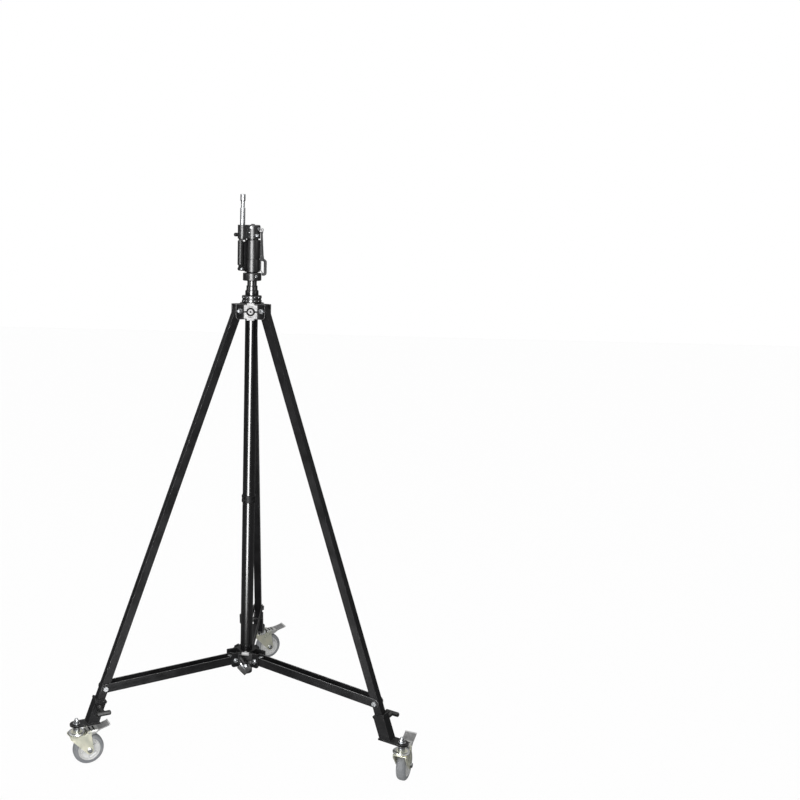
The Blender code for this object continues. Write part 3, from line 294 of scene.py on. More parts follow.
def rounded(points, radius, steps=3, closed=True):
    # An outline with each corner rounded, by a third of its shorter side at most.
    made = []
    for index, point in enumerate(points):
        here = Vector(point)
        if not closed and index in (0, len(points) - 1):
            made.append(here)
            continue
        toLast = Vector(points[index - 1]) - here
        toNext = Vector(points[(index + 1) % len(points)]) - here
        reach = min(radius, toLast.length / 3, toNext.length / 3)
        if reach < 0.01 or toLast.angle(toNext) > radians(160):
            made.append(here)
            continue
        start = here + toLast.normalized() * reach
        end = here + toNext.normalized() * reach
        for step in range(steps + 1):
            share = step / steps
            made.append(start * (1 - share) ** 2 + here * 2 * share * (1 - share)
                        + end * share ** 2)
    return made


def arc(x, y, radius, start, end, steps):
    points = []
    for step in range(steps + 1):
        angle = radians(start + (end - start) * step / steps)
        points.append((x + radius * cos(angle), y + radius * sin(angle)))
    return points


def hexagon(width):
    return arc(0, 0, width / sqrt(3), 30, 330, 5)


def panel(left, right, low, high):
    return [(left, low), (right, low), (right, high), (left, high)]


def disc(radius, low, high, bore=0):
    # A profile to spin: a disc, or a ring where it has a bore.
    return panel(bore, radius, low, high)


def spin(bm, place, profile, edge=0.6, segments=48, closed=False, tone=0):
    # Turns (radius, height) points round the place's z axis.
    rings = []
    for radius, height in rounded(profile, edge, closed=closed):
        count = 1 if radius < 1e-4 else segments
        rings.append([bm.verts.new(place @ (Vector((radius * cos(2 * pi * index / count),
                                                    radius * sin(2 * pi * index / count),
                                                    height)) * mm))
                      for index in range(count)])
    pairs = list(zip(rings, rings[1:])) + ([(rings[-1], rings[0])] if closed else [])
    for low, high in pairs:
        for index in range(segments):
            after = (index + 1) % segments
            corners = [low[index % len(low)], low[after % len(low)],
                       high[after % len(high)], high[index % len(high)]]
            if len(set(corners)) > 2:
                bm.faces.new(list(dict.fromkeys(corners))).material_index = tone


def slab(bm, place, outline, low, high, edge=0.0, tone=0):
    # Pushes an outline from low to high along the place's z axis, its rims eased by edge.
    points = [Vector(point) for point in outline]
    area = sum(a.x * b.y - b.x * a.y for a, b in zip(points, points[1:] + points[:1]))
    if area < 0:
        points.reverse()
    levels = [(low, 0.0), (high, 0.0)]
    if edge:
        ease = 0.3 * edge
        levels = [(low, edge), (low + ease, ease), (low + edge, 0.0),
                  (high - edge, 0.0), (high - ease, ease), (high, edge)]
    loops = []
    for height, inset in levels:
        loop = []
        for index, point in enumerate(points):
            before = (point - points[index - 1]).normalized()
            after = (points[(index + 1) % len(points)] - point).normalized()
            across = Vector((-before.y - after.y, before.x + after.x))
            length = across.length
            lean = max(0.35, length / 2)
            moved = point + across.normalized() * inset / lean if length > 1e-6 else point
            loop.append(bm.verts.new(place @ (Vector((moved.x, moved.y, height)) * mm)))
        loops.append(loop)
    faces = [bm.faces.new(loops[0][::-1]), bm.faces.new(loops[-1])]
    for lower, upper in zip(loops, loops[1:]):
        for index in range(len(lower)):
            after = (index + 1) % len(lower)
            faces.append(bm.faces.new([lower[index], lower[after], upper[after],
                                       upper[index]]))
    for face in faces:
        face.material_index = tone


def addObject(name, data):
    made = bpy.data.objects.new(name, data)
    bpy.context.scene.collection.objects.link(made)
    return made


def addMesh(name, bm):
    mesh = bpy.data.meshes.new(name)
    bm.to_mesh(mesh)
    bm.free()
    return addObject(name, mesh)


def fit(name, bm, body, tones, stands=(), bevel=0.0, edgeHighlight=True):
    # Makes the mesh a piece: tones are finishes, stands the solids that it stands for.
    bmesh.ops.recalc_face_normals(bm, faces=bm.faces)
    piece = addMesh(name, bm)
    mesh = piece.data
    mesh.shade_smooth()
    mesh.set_sharp_from_angle(angle=sharpAngle)
    for tone in tones:
        mesh.materials.append(finishes[tone])
    if bevel:
        modifier = piece.modifiers.new("edges", "BEVEL")
        modifier.width = bevel * mm
        modifier.segments = 2
        modifier.limit_method = "ANGLE"
        modifier.angle_limit = sharpAngle
        modifier.harden_normals = True
        # the bevel's faces take a lighter paint, a painted highlight along the edges
        if edgeHighlight:
            mesh.materials.append(finishes["paintedEdgeHighlight"])
            modifier.material = len(mesh.materials) - 1
    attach(piece, body)
    if stands:
        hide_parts(*stands)
    return piece


def copySolid(node):
    # A node's solid as a mesh to dress, with its triangles joined into flat faces.
    bm = bmesh.new()
    bm.from_mesh(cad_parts[node].data)
    bmesh.ops.remove_doubles(bm, verts=bm.verts, dist=0.01 * mm)
    bmesh.ops.dissolve_limit(bm, angle_limit=radians(1), verts=bm.verts, edges=bm.edges)
    return bm


def dress(name, node, body, finish, bevel, edgeHighlight=True):
    # A node's own solid with its edges eased, as a piece of one finish.
    return fit(name, copySolid(node), body, [finish], [node], bevel, edgeHighlight)


def shift(x, y, z):
    return Matrix.Translation((x * mm, y * mm, z * mm))


def turn(angle, axis="Z"):
    return Matrix.Rotation(radians(angle), 4, axis)


def armPlace(angle, height=0.0, out=0.0):
    # A frame whose x runs out from the column at an angle.
    return standPlace @ turn(angle) @ shift(out, 0, height)


def outwardPlace(angle, height, out=0.0):
    # A frame whose z runs out from the column, with x across and y up.
    return armPlace(angle, height) @ turnAlongX @ shift(0, 0, out)


# Column, bushes, collar and middle ring

tubes = {"twoRadius": 17.5, "twoTop": 1493, "oneRadius": 15, "wall": 1.2, "length": 1200}
column = {"radius": 20, "bore": 18.8, "lip": 21, "top": 1479}
footPlug = {"reach": 20, "flange": 6, "hollow": 8, "hollowDepth": 1, "chamfer": 2}
bush = {"depth": 40, "lip": 1.1, "flange": 2}
collar = {"bottom": 1441.7, "top": 1464.7, "radius": 31, "bore": 20.3, "groove": 29.5,
          "grooveLow": 1450.7, "grooveHigh": 1455.7, "chamfer": 1.2}
setScrews = {"rows": (1447.9, 1459.3), "count": 14, "first": 242.4, "radius": 2.6,
             "socket": 1.3, "proud": 0.35, "deep": 2, "length": 3, "rim": 0.5}
middleRing = {"height": 807, "width": 24, "radius": 23, "chamfer": 1.5, "band": 8,
              "step": 0.6}


def makeColumn():
    bm = bmesh.new()
    lipStart = collar["top"] + seatGap
    spin(bm, standPlace, [
        (column["radius"], columnFoot), (column["radius"], lipStart),
        (column["lip"], lipStart + 1), (column["lip"], column["top"]),
        (column["bore"], column["top"]), (column["bore"], columnFoot)], 0.5, 64, closed=True)
    fit("mainColumn", bm, "column", ["blackGloss"], ["centre_column"])
    bm = bmesh.new()
    bottom = columnFoot - footPlug["flange"] - seatGap
    insert = column["bore"] - seatGap
    hollow = footPlug["hollow"]
    depth = footPlug["hollowDepth"]
    spin(bm, standPlace, [
        (0, bottom + depth), (hollow, bottom + depth), (hollow + depth, bottom),
        (column["radius"] - footPlug["chamfer"], bottom),
        (column["radius"], bottom + footPlug["chamfer"]),
        (column["radius"], columnFoot - seatGap), (insert, columnFoot - seatGap),
        (insert, columnFoot + footPlug["reach"]), (0, columnFoot + footPlug["reach"])], 0.8)
    fit("columnFootPlug", bm, "column", ["blackPlastic"], ["column_foot_plug"])


def makeBush(name, body, bore, tube, top, node):
    # A sleeve in an outer tube's mouth, round the inner tube, with a flange on the rim.
    bm = bmesh.new()
    seat = top + seatGap
    flange = bore + bush["lip"]
    spin(bm, standPlace, [
        (bore - seatGap, top - bush["depth"]), (bore - seatGap, seat), (flange, seat),
        (flange, seat + bush["flange"]), (tube + seatGap, seat + bush["flange"]),
        (tube + seatGap, top - bush["depth"])], 0.5, 48, closed=True)
    fit(name, bm, body, ["blackPlastic"], [node])


def makeCollar():
    bm = bmesh.new()
    outer = collar["radius"]
    chamfer = collar["chamfer"]
    spin(bm, standPlace, [
        (outer - chamfer, collar["bottom"]), (outer, collar["bottom"] + chamfer),
        (outer, collar["grooveLow"]), (collar["groove"], collar["grooveLow"]),
        (collar["groove"], collar["grooveHigh"]), (outer, collar["grooveHigh"]),
        (outer, collar["top"] - chamfer), (outer - chamfer, collar["top"]),
        (collar["bore"], collar["top"]), (collar["bore"], collar["bottom"])],
        0.5, 64, closed=True)
    fit("topCollar", bm, "column", ["satinBlack"], ["top_collar"])
    bm = bmesh.new()
    face = outer + setScrews["proud"]
    wide = setScrews["radius"]
    rim = setScrews["rim"]
    deep = face - setScrews["deep"]
    end = face - setScrews["length"]
    for row in setScrews["rows"]:
        for index in range(setScrews["count"]):
            angle = setScrews["first"] + index * 360 / setScrews["count"]
            spin(bm, outwardPlace(angle, row), [
                (0, deep), (setScrews["socket"], deep), (setScrews["socket"], face),
                (wide - rim, face), (wide, face - rim), (wide, end), (0, end)], 0.15, 16)
    fit("collarSetScrews", bm, "column", ["zinc"])


def makeMiddleRing():
    low = middleRing["height"] - middleRing["width"] / 2
    high = low + middleRing["width"]
    radius = middleRing["radius"]
    chamfer = middleRing["chamfer"]
    band = middleRing["band"]
    step = middleRing["step"]
    bm = bmesh.new()
    spin(bm, standPlace, [
        (radius - chamfer, low), (radius, low + chamfer), (radius, low + band),
        (radius - step, low + band + step), (radius - step, high - band - step),
        (radius, high - band), (radius, high - chamfer), (radius - chamfer, high),
        (column["radius"] + seatGap, high), (column["radius"] + seatGap, low)],
        0.5, 64, closed=True)
    fit("middleStopRing", bm, "column", ["blackPaint"], ["mid_ring"])
    dress("middleRingScrew", "mid_ring_screw", "mid_screw", "blackPlastic", 0.8, False)


makeColumn()
makeBush("lowerTubeBush", "column", column["bore"], tubes["twoRadius"], column["top"],
         "stage_two_bush")
makeCollar()
makeMiddleRing()
print("column")


# Hubs: castings, bolts, face plates and the clamp under the lower one

hubs = {
    "top": {"bottom": 1391.7, "pivot": 1417.7, "pivotOut": 49.2, "outer": 18,
            "node": "top_hub", "body": "column", "face": 34.41},
    "lower": {"bottom": 242, "pivot": 264, "pivotOut": 47.6, "outer": 22,
              "node": "lower_hub", "body": "lower_hub", "face": 39.03},
}
hubHeight = 48
boltHead = {"width": 14.4, "height": 5.5, "washer": 8.2, "washerThick": 1.2, "socket": 2.3,
            "deep": 3, "dome": 1.5}
pivotBolt = {"radius": 4, "spacerBore": 3.9, "spacerRadius": 8.5, "spacerLow": 6,
             "spacerHigh": 13.7}
plate = {"width": 42, "height": 42, "tabWidth": 23, "tabReach": 6, "thick": 3, "split": 4.5,
         "eye": 13.6, "backing": 0.8, "barHalf": 3, "groove": (16.2, 17.4),
         "grooveSpan": (58, 122)}
plateBolt = {"washer": 8.35, "washerLow": 1, "washerTop": 2.2, "hexagon": 13.5, "top": 5.4,
             "ring": [(3.2, 3), (3.2, 5.6), (6.2, 5.6), (7, 5), (7, 4), (5, 3)],
             "dip": 3.1, "dipLow": 5.2, "dipTop": 5.5}


def addBoltHead(bm, place, tone=0, width=None):
    # A washer, a hex head with a domed rim, and a small dark hole; the place's z points out.
    size = width or boltHead["width"]
    share = size / boltHead["width"]
    washer = boltHead["washer"] * share
    thick = boltHead["washerThick"]
    spin(bm, place, disc(washer, 0, thick), 0.3, 32, tone=tone)
    top = boltHead["height"]
    slab(bm, place, rounded(hexagon(size), 0.6, 2), thick, top - 0.6, 0.4, tone)
    flat = size / 2 - 0.4
    socket = boltHead["socket"] * share
    deep = top - boltHead["deep"]
    dome = top - boltHead["dome"]
    spin(bm, place, [(0, deep), (socket, deep), (socket, top), (flat - 0.8, top),
                     (flat, top - 0.7), (flat, dome), (0, dome)], 0.2, 24, tone=tone)


def addThroughBolt(bm, place, radius, half, segments, width=None):
    # A shank with a head at each end.
    face = half + seatGap
    spin(bm, place, disc(radius, -face, face), 0.1, segments)
    for turnOver in (0, 180):
        addBoltHead(bm, place @ turn(turnOver, "X") @ shift(0, 0, face), width=width)


def makePivotBolts(key):
    hub = hubs[key]
    for side in sides:
        place = armPlace(legAngles[side], hub["pivot"], hub["pivotOut"]) @ turnAlongY
        bm = bmesh.new()
        addThroughBolt(bm, place, pivotBolt["radius"], hub["outer"], 20)
        if key == "lower":
            # bright spacers on each side of the bolt, inside the brace
            near, far = pivotBolt["spacerLow"], pivotBolt["spacerHigh"]
            for low, high in ((-far, -near), (near, far)):
                spin(bm, place, disc(pivotBolt["spacerRadius"], low, high,
                                     pivotBolt["spacerBore"]), 0.5, 32)
        fit(key + "HubBolt" + side.title(), bm, hub["body"], ["zinc"],
            [hub["node"] + "_bolt_" + side])


def makeHub(key):
    hub = hubs[key]
    dress(key + "HubCasting", hub["node"], hub["body"], "blackPaint", 0.9)


def halfPlate(sign):
    # The upper half of a face plate, or with sign -1 the lower: tab, shoulders and eye notch.
    half = plate["width"] / 2
    high = plate["height"] / 2
    tab = plate["tabWidth"] / 2
    split = plate["split"] / 2
    reach = degrees(asin(split / plate["eye"]))
    outline = ([(-half, split), (-half, high), (-tab, high), (-tab, high + plate["tabReach"]),
                (tab, high + plate["tabReach"]), (tab, high), (half, high), (half, split)]
               + arc(0, 0, plate["eye"], reach, 180 - reach, 14))
    return [(x, y * sign) for x, y in outline]


def makeFacePlates():
    hub = hubs["top"]
    middle = hub["bottom"] + hubHeight / 2
    back = hub["face"] + seatGap
    face = plate["thick"]
    backing = plate["backing"]
    inner, outer = plate["groove"]
    eye = plate["eye"] - 0.3
    half = plate["width"] / 2 - 1
    low = plateBolt["washerTop"]
    for side in sides:
        place = outwardPlace(legAngles[side] + 180, middle) @ shift(0, 0, back)
        bm = bmesh.new()
        for sign in (1, -1):
            slab(bm, place, rounded(halfPlate(sign), 1.2, 2), 0, face, 0.6)
            # dark arcs laid over the plate's grooves, painted shade
            start, end = (sign * angle for angle in plate["grooveSpan"])
            slab(bm, place, arc(0, 0, outer, start, end, 10) + arc(0, 0, inner, end, start, 10),
                 face - 0.4, face + 0.15, tone=1)
        # a dark disc in the eye and a dark bar in the split between the halves, painted shade in
        # those gaps
        spin(bm, place, disc(eye, 0, backing), 0.2, 32, tone=1)
        slab(bm, place, panel(-half, half, -plate["barHalf"], plate["barHalf"]), 0, backing,
             0.2, tone=1)
        # the bolt: a washer, a hex head, a raised ring on it and painted shade in the dip within
        spin(bm, place, disc(plateBolt["washer"], plateBolt["washerLow"], low), 0.3, 32)
        slab(bm, place, rounded(hexagon(plateBolt["hexagon"]), 0.8, 2), low,
             plateBolt["top"], 0.6)
        spin(bm, place, plateBolt["ring"], 0.25, 28, closed=True)
        spin(bm, place, disc(plateBolt["dip"], plateBolt["dipLow"], plateBolt["dipTop"]),
             0.1, 20, tone=1)
        fit("facePlateOpposite" + side.title(), bm, "column", ["brightPlate", "paintedHoleShade"],
            ["top_hub_plate_opposite_" + side])


clamp = {"drop": 19, "neckDrop": 12, "front": 57, "back": 48, "side": 36, "neck": 7,
         "leverSide": 4, "leverRise": 12, "reach": 34, "tail": 9, "width": 10, "thick": 7,
         "boss": 7, "tilt": -55, "barOut": 5.4, "bar": (-15, 13, -2.5, 2.5), "barProud": 1.6}
hubTab = {"halfWidth": 11.8, "inset": 3, "reach": 9.4, "proud": 0.7, "screwOut": 30,
          "screwRadius": 3.6}


def makeClamp():
    hub = hubs["lower"]
    front = legAngles["back"] + 180
    place = outwardPlace(front, hub["pivot"] - clamp["drop"])
    diagonal = clamp["side"] / sqrt(2)
    diamond = [(-diagonal, 0), (0, -diagonal), (diagonal, 0), (0, diagonal)]
    bm = bmesh.new()
    slab(bm, place, rounded(diamond, 2.5, 4), clamp["back"], clamp["front"], 1.0)
    start = hub["face"] + plate["thick"] + seatGap
    end = clamp["back"] + 1
    neck = clamp["neck"]
    spin(bm, outwardPlace(front, hub["pivot"] - clamp["neckDrop"]), [
        (0, start), (neck, start), (neck, start + 2.5), (neck - 1.2, start + 2.5),
        (neck - 1.2, end), (0, end)], 0.3, 32)
    # a zinc bar across the block's front, bright as a painted highlight
    strip = place @ shift(-clamp["barOut"], clamp["barOut"], 0) @ turn(clamp["tilt"])
    slab(bm, strip, rounded(panel(*clamp["bar"]), 2, 4), clamp["front"] - 1,
         clamp["front"] + clamp["barProud"], 0.6, tone=1)
    fit("clampBlock", bm, "lower_hub", ["greyCast", "zinc"], ["lower_hub_clamp_block"])
    bm = bmesh.new()
    half = hubTab["halfWidth"]
    low = plate["height"] / 2 - hubTab["inset"]
    high = low + hubTab["reach"]
    slab(bm, outwardPlace(front, hub["bottom"] + hubHeight / 2),
         rounded(panel(-half, half, low, high), 1.2, 2), hub["face"] - 1,
         hub["face"] + plate["thick"] + hubTab["proud"], 0.5)
    wide = hubTab["screwRadius"]
    spin(bm, armPlace(front, hub["bottom"] + hubHeight, hubTab["screwOut"]),
         [(0, -2), (wide, -2), (wide, 1.6), (wide - 1, 2.6), (0, 2.8)], 0.4, 24)
    fit("hubTab", bm, "lower_hub", ["brightPlate"])
    turned = place @ shift(clamp["leverSide"], clamp["leverRise"], 0) @ turn(clamp["tilt"])
    half = clamp["width"] / 2
    low = clamp["front"] + seatGap
    high = low + clamp["thick"]
    bar = (arc(clamp["tail"] - half, 0, half, -90, 90, 12)
           + arc(half - clamp["reach"], 0, half, 90, 270, 12))
    bm = bmesh.new()
    slab(bm, turned, bar, low + 2, high, 1.2)
    # a zinc cap over the lever's tail, its brightness a painted highlight of the lever
    brightTail = arc(clamp["tail"] - half, 0, half + 0.15, -80, 80, 10)
    slab(bm, turned, brightTail, low + 1.9, high + 0.15, 0.6, tone=1)
    start = clamp["front"] - 5
    boss = clamp["boss"]
    top = high + 1.5
    spin(bm, turned, [(0, start), (3, start), (3, low), (boss, low), (boss, top), (0, top)],
         0.5, 32)
    spin(bm, turned, [(0, top), (4.2, top), (4.2, top + 0.7), (2, top + 0.7), (2, top + 0.1),
                      (0, top + 0.1)], 0.2, 24, tone=1)
    fit("hubLockLever", bm, "lock_lever", ["blackPaint", "zinc"], ["lower_hub_lock_lever"])


for key in hubs:
    makeHub(key)
    makePivotBolts(key)
makeFacePlates()
makeClamp()
print("hubs")


# Legs, braces, adapters and their handles

braceSlope = -2.55   # degrees, from the hub's pivot out to the leg
braceScrew = {"out": 14, "rise": 13.9, "radius": 5.8, "sunk": 0.6, "proud": 0.3}
boltFace = 16.55     # how far from a brace's middle its bolt heads start


def makeLegs():
    low, high, wide = -braceScrew["sunk"], braceScrew["proud"], braceScrew["radius"]
    pivot = hubs["lower"]["pivot"], hubs["lower"]["pivotOut"]
    for side in sides:
        label = side.title()
        dress("leg" + label, "leg_" + side, "leg_" + side, "blackPaint", 1.3)
        fit("brace" + label, dressBrace(side), "brace_" + side, ["blackPaint", "zinc"],
            ["brace_" + side], bevel=0.8)
        bm = bmesh.new()
        web = armPlace(legAngles[side], *pivot) @ turn(-braceSlope, "Y")
        spin(bm, web @ shift(braceScrew["out"], 0, braceScrew["rise"]),
             [(0, low), (wide, low), (wide, 0), (wide - 0.4, high), (0, high)], 0.1, 32)
        fit("braceScrew" + label, bm, "brace_" + side, ["zinc"])
        dress("casterSleeve" + label, "caster_adapter_" + side, "leg_" + side, "blackPaint",
              0.9)
        dress("clampHandle" + label, "clamp_handle_" + side, "clamp_handle_" + side,
              "blackPlastic", 0.8, False)


def dressBrace(side):
    # The brace's own solid, with the bolt heads at its outer end in zinc.
    bm = copySolid("brace_" + side)
    inward = armPlace(legAngles[side]).inverted()
    for face in bm.faces:
        if min(abs((inward @ vertex.co).y) for vertex in face.verts) > boltFace * mm:
            face.material_index = 1
    return bm


makeLegs()
print("legs")


# Casters

caster = {"swivelOut": 583, "trail": 37, "axleHeight": 50, "axleHalf": 20.5,
          "axleRadius": 5, "axleHead": 14.5, "bracketTop": 138, "bracketBottom": 133,
          "bridge": 103, "raceTop": 112}
stem = {"radius": 5, "rivet": 11, "rivetThick": 2.5, "race": 10.5, "washer": 11,
        "washerThick": 1.6, "nut": 15.5, "nutTop": 9, "dome": 6.2, "top": 18.2}
raceRing = [(23, -5.4), (27.3, -4.2), (27.3, -2.6), (25.6, -1.2), (24.6, 0.1), (20, 0.15),
            (19, 0.12), (19, -1), (23, -1)]   # radius, and height over the race's top
wheel = {"radius": 49.38, "tread": 15, "tyreThick": 13, "hub": 13, "hubHalf": 17.7,
         "bore": 5.3, "ribs": 6, "ribHalf": 1.3, "ribSpan": (4, 10.5)}


def casterPlace(side, out=0.0, height=0.0):
    # A frame on the caster's swivel axis, its x towards where the wheel trails.
    return (armPlace(legAngles[side], 0, caster["swivelOut"])
            @ turn(trailAngles[side] - legAngles[side]) @ shift(out, 0, height))


def makeWheel(side):
    place = casterPlace(side, caster["trail"], caster["axleHeight"]) @ turnAlongY
    outer = wheel["radius"]
    core = outer - wheel["tyreThick"]
    tread = wheel["tread"]
    bm = bmesh.new()
    shoulder = [(core, tread), (core + 3, tread), (outer - 5, tread - 1.5),
                (outer - 1.6, tread - 5), (outer - 0.3, tread - 9), (outer, 0)]
    profile = shoulder + [(radius, -across) for radius, across in reversed(shoulder[:-1])]
    spin(bm, place, profile, 2.0, 72, closed=True)
    fit("tyre" + side.title(), bm, "wheel_" + side, ["greyRubber"], ["caster_tyre_" + side])
    bm = bmesh.new()
    rim = core - seatGap
    hub = wheel["hub"]
    wide = wheel["hubHalf"]
    half = [(wheel["bore"], wide), (hub - 4, wide), (hub - 3, wide - 2), (hub, wide - 4),
            (hub + 2, 7), (rim - 8, 6), (rim - 5, 8), (rim - 3, tread - 1.5),
            (rim, tread - 1)]
    profile = half + [(radius, -across) for radius, across in reversed(half)]
    spin(bm, place, profile, 1.2, 72, closed=True)
    thin = wheel["ribHalf"]
    rib = panel(hub - 1, rim - 4, -thin, thin)
    low, high = wheel["ribSpan"]
    for index in range(wheel["ribs"]):
        turned = place @ turn((index + 0.5) * 360 / wheel["ribs"])
        slab(bm, turned, rib, low, high, 0.5)
        slab(bm, turned, rib, -high, -low, 0.5)
    fit("wheelCore" + side.title(), bm, "wheel_" + side, ["palePlastic"],
        ["caster_core_" + side])
    bm = bmesh.new()
    addThroughBolt(bm, place, caster["axleRadius"], caster["axleHalf"], 24,
                   caster["axleHead"])
    fit("axleBolt" + side.title(), bm, "caster_" + side, ["zinc"], ["caster_axle_" + side])


def makeStem(side):
    # A rivet under the fork's bridge, a spacer from race to bracket, and a domed nut on top.
    place = casterPlace(side)
    under = caster["bridge"] - seatGap
    low = under - stem["rivetThick"]
    raceLow = caster["raceTop"] + seatGap
    raceHigh = caster["bracketBottom"] - seatGap
    base = caster["bracketTop"] + seatGap
    shank, rivet, race, washer = (stem[key] for key in ("radius", "rivet", "race", "washer"))
    bm = bmesh.new()
    spin(bm, place, [(0, low), (rivet, low), (rivet, under), (shank, under),
                     (shank, raceLow), (race, raceLow), (race, raceHigh), (shank, raceHigh),
                     (shank, base), (0, base)], 0.5, 40)
    nutLow = base + stem["washerThick"]
    spin(bm, place, disc(washer, base, nutLow), 0.3, 40)
    slab(bm, place, rounded(hexagon(stem["nut"]), 0.6, 2), nutLow, base + stem["nutTop"], 0.5)
    dome = stem["dome"]
    spin(bm, place, [(0, base + 8), (dome + 0.2, base + 8), (dome + 0.2, base + 11.5)]
         + arc(0, base + 12, dome, 0, 80, 8) + [(0, base + stem["top"])], 0.3, 40)
    fit("casterStem" + side.title(), bm, "leg_" + side, ["zinc"], ["caster_stem_" + side])


def makeFork(side):
    # The fork's own solid, and the bright ring round its ball race.
    dress("casterFork" + side.title(), "caster_fork_" + side, "caster_" + side, "yellowZinc",
          0.7, False)
    bm = bmesh.new()
    spin(bm, casterPlace(side, 0, caster["raceTop"]), raceRing, 0.4, 64, closed=True)
    fit("casterRace" + side.title(), bm, "caster_" + side, ["zinc"])


pedal = {"pivotOut": 36, "pivotHeight": 109, "cheekLow": 15.4, "cheekHigh": 17.4,
         "halfWidth": 18.5, "start": 63, "end": 104, "steps": 10, "thick": 3.4, "ribs": 6,
         "ribPitch": 5.6, "slots": (41, 53), "slotHalf": 2.6, "slotReach": 11,
         "shelfSlope": 0.0325, "treadBase": 113.5, "treadRise": 7.5, "treadCurl": 3,
         "rivet": 2.4, "rivetHead": 3.6, "rivetIn": 20.7, "rivetOut": 21.3}
cheekOutline = [(30, 104), (44, 98.5), (61, 103), (74, 112.5), (66, 114), (31, 113.4)]
shelfOutline = [(31, 112), (68, 113.2), (68, 115), (31, 113.8)]


def treadTop(out):
    # The tread's upper side curls up towards its end.
    share = (out - pedal["start"]) / (pedal["end"] - pedal["start"])
    return pedal["treadBase"] + pedal["treadRise"] * share + pedal["treadCurl"] * share ** 2


def makePedal(side):
    # Side plates and a shelf in plated sheet, its slots painted shade, then a ribbed tread with
    # a pale end.
    place = casterPlace(side) @ turnAlongY
    bm = bmesh.new()
    low, high = pedal["cheekLow"], pedal["cheekHigh"]
    cheek = rounded(cheekOutline, 2, 3)
    slab(bm, place, cheek, low, high, 0.4)
    slab(bm, place, cheek, -high, -low, 0.4)
    slab(bm, place, shelfOutline, -high, high, 0.4)
    # dark patches laid on the shelf at the slots, painted shade in place of openings
    wide = pedal["slotHalf"]
    for out in pedal["slots"]:
        rise = shelfOutline[3][1] + (out - shelfOutline[3][0]) * pedal["shelfSlope"]
        slab(bm, place, [(out - wide, rise - 0.3), (out + wide, rise - 0.1),
                         (out + wide, rise + 0.45), (out - wide, rise + 0.25)],
             -pedal["slotReach"], pedal["slotReach"], 0.1, tone=2)
    half = pedal["halfWidth"]
    pitch = (pedal["end"] - pedal["start"]) / pedal["steps"]
    outs = [pedal["start"] + index * pitch for index in range(pedal["steps"] + 1)]
    tread = [(out, treadTop(out)) for out in outs]
    under = [(out, height - pedal["thick"]) for out, height in reversed(tread)]
    slab(bm, place, tread + under, -half, half, 0.8, tone=1)
    for index in range(pedal["ribs"]):
        out = pedal["start"] + 4 + index * pedal["ribPitch"]
        rise = treadTop(out)
        slab(bm, place, [(out - 1, rise - 0.6), (out + 1, rise - 0.3), (out + 0.7, rise + 1.3),
                         (out - 0.7, rise + 1.1)], 2 - half, half - 2, 0.3, tone=1)
    end = pedal["end"]
    rise = treadTop(end)
    slab(bm, place, [(end - 3, rise - 3.8), (end + 1, rise - 3.4), (end + 1, rise + 1),
                     (end - 3, rise + 0.5)], -half - 0.3, half + 0.3, 0.5, tone=3)
    # the rivet that the pedal turns on, with a head on each side
    near, far, wide, thin = (pedal[key] for key in ("rivetIn", "rivetOut", "rivetHead", "rivet"))
    spin(bm, place @ shift(pedal["pivotOut"], pedal["pivotHeight"], 0),
         [(0, -far), (wide, -far), (wide, -near), (thin, -near), (thin, near), (wide, near),
          (wide, far), (0, far)], 0.2, 20)
    fit("brakePedal" + side.title(), bm, "pedal_" + side,
        ["pedalPlastic", "pedalRubber", "paintedHoleShade", "palePlastic"], ["caster_pedal_" + side])


for side in sides:
    makeWheel(side)
    makeStem(side)
    makeFork(side)
    makePedal(side)
print("casters")


# Telescopic tubes and the head

head = {"bottom": 1511, "collarRadius": 29, "collarHeight": 24, "neck": 18, "neckHeight": 3,
        "radius": 24.25, "lowerHeight": 38, "groove": 3, "upperHeight": 58, "pinLength": 60,
        "capGap": 4, "socketAngle": 215, "socketOut": 37, "screwAngle": 300,
        "screwRise": 13, "guideHalf": 4.5, "guideStart": 6, "bossRadius": 12, "bossDrop": 4.4}
headTube = head["bottom"] + head["collarHeight"]
headLower = headTube + head["neckHeight"]
grooveLow = headLower + head["lowerHeight"]
grooveHigh = grooveLow + head["groove"]
bodyTop = grooveHigh + head["upperHeight"]
capBottom = bodyTop + head["capGap"]
capBolts = ((262, 34, 7.5), (321, 30, 8.5), (249, 19, 5))   # angle, rise and width
capStrip = {"angle": 307, "rise": 9, "halfWidth": 8, "halfHeight": 5, "bolt": 6}
spigot = {"base": 3, "length": 132, "radius": 8, "tipLength": 20, "waist": 22,
          "waistRadius": 6, "chamfer": 1.2}
leverPin = {"drop": 89, "out": 43.35, "proud": 7, "width": 8}


def makeTube(name, body, radius, top, node):
    bm = bmesh.new()
    low = top - tubes["length"]
    bore = radius - tubes["wall"]
    spin(bm, standPlace, [(radius, low), (radius, top), (bore, top), (bore, low)], 0.4, 56,
         closed=True)
    fit(name, bm, body, ["blackGloss"], [node])


def makeHeadCollar():
    bm = bmesh.new()
    outer = head["collarRadius"]
    low = head["bottom"]
    bore = tubes["oneRadius"] + seatGap
    spin(bm, standPlace, [
        (outer - 1.5, low), (outer, low + 1.5), (outer, headTube - 1.5),
        (outer - 1.5, headTube), (bore, headTube), (bore, low)], 0.5, 64, closed=True)
    fit("headLowerCollar", bm, "stage_one", ["satinBlack"], ["head_lower_collar"])
    bm = bmesh.new()
    addBoltHead(bm, outwardPlace(head["screwAngle"], low + head["screwRise"], outer - 2.6),
                width=8)
    fit("headCollarScrew", bm, "stage_one", ["zinc"])


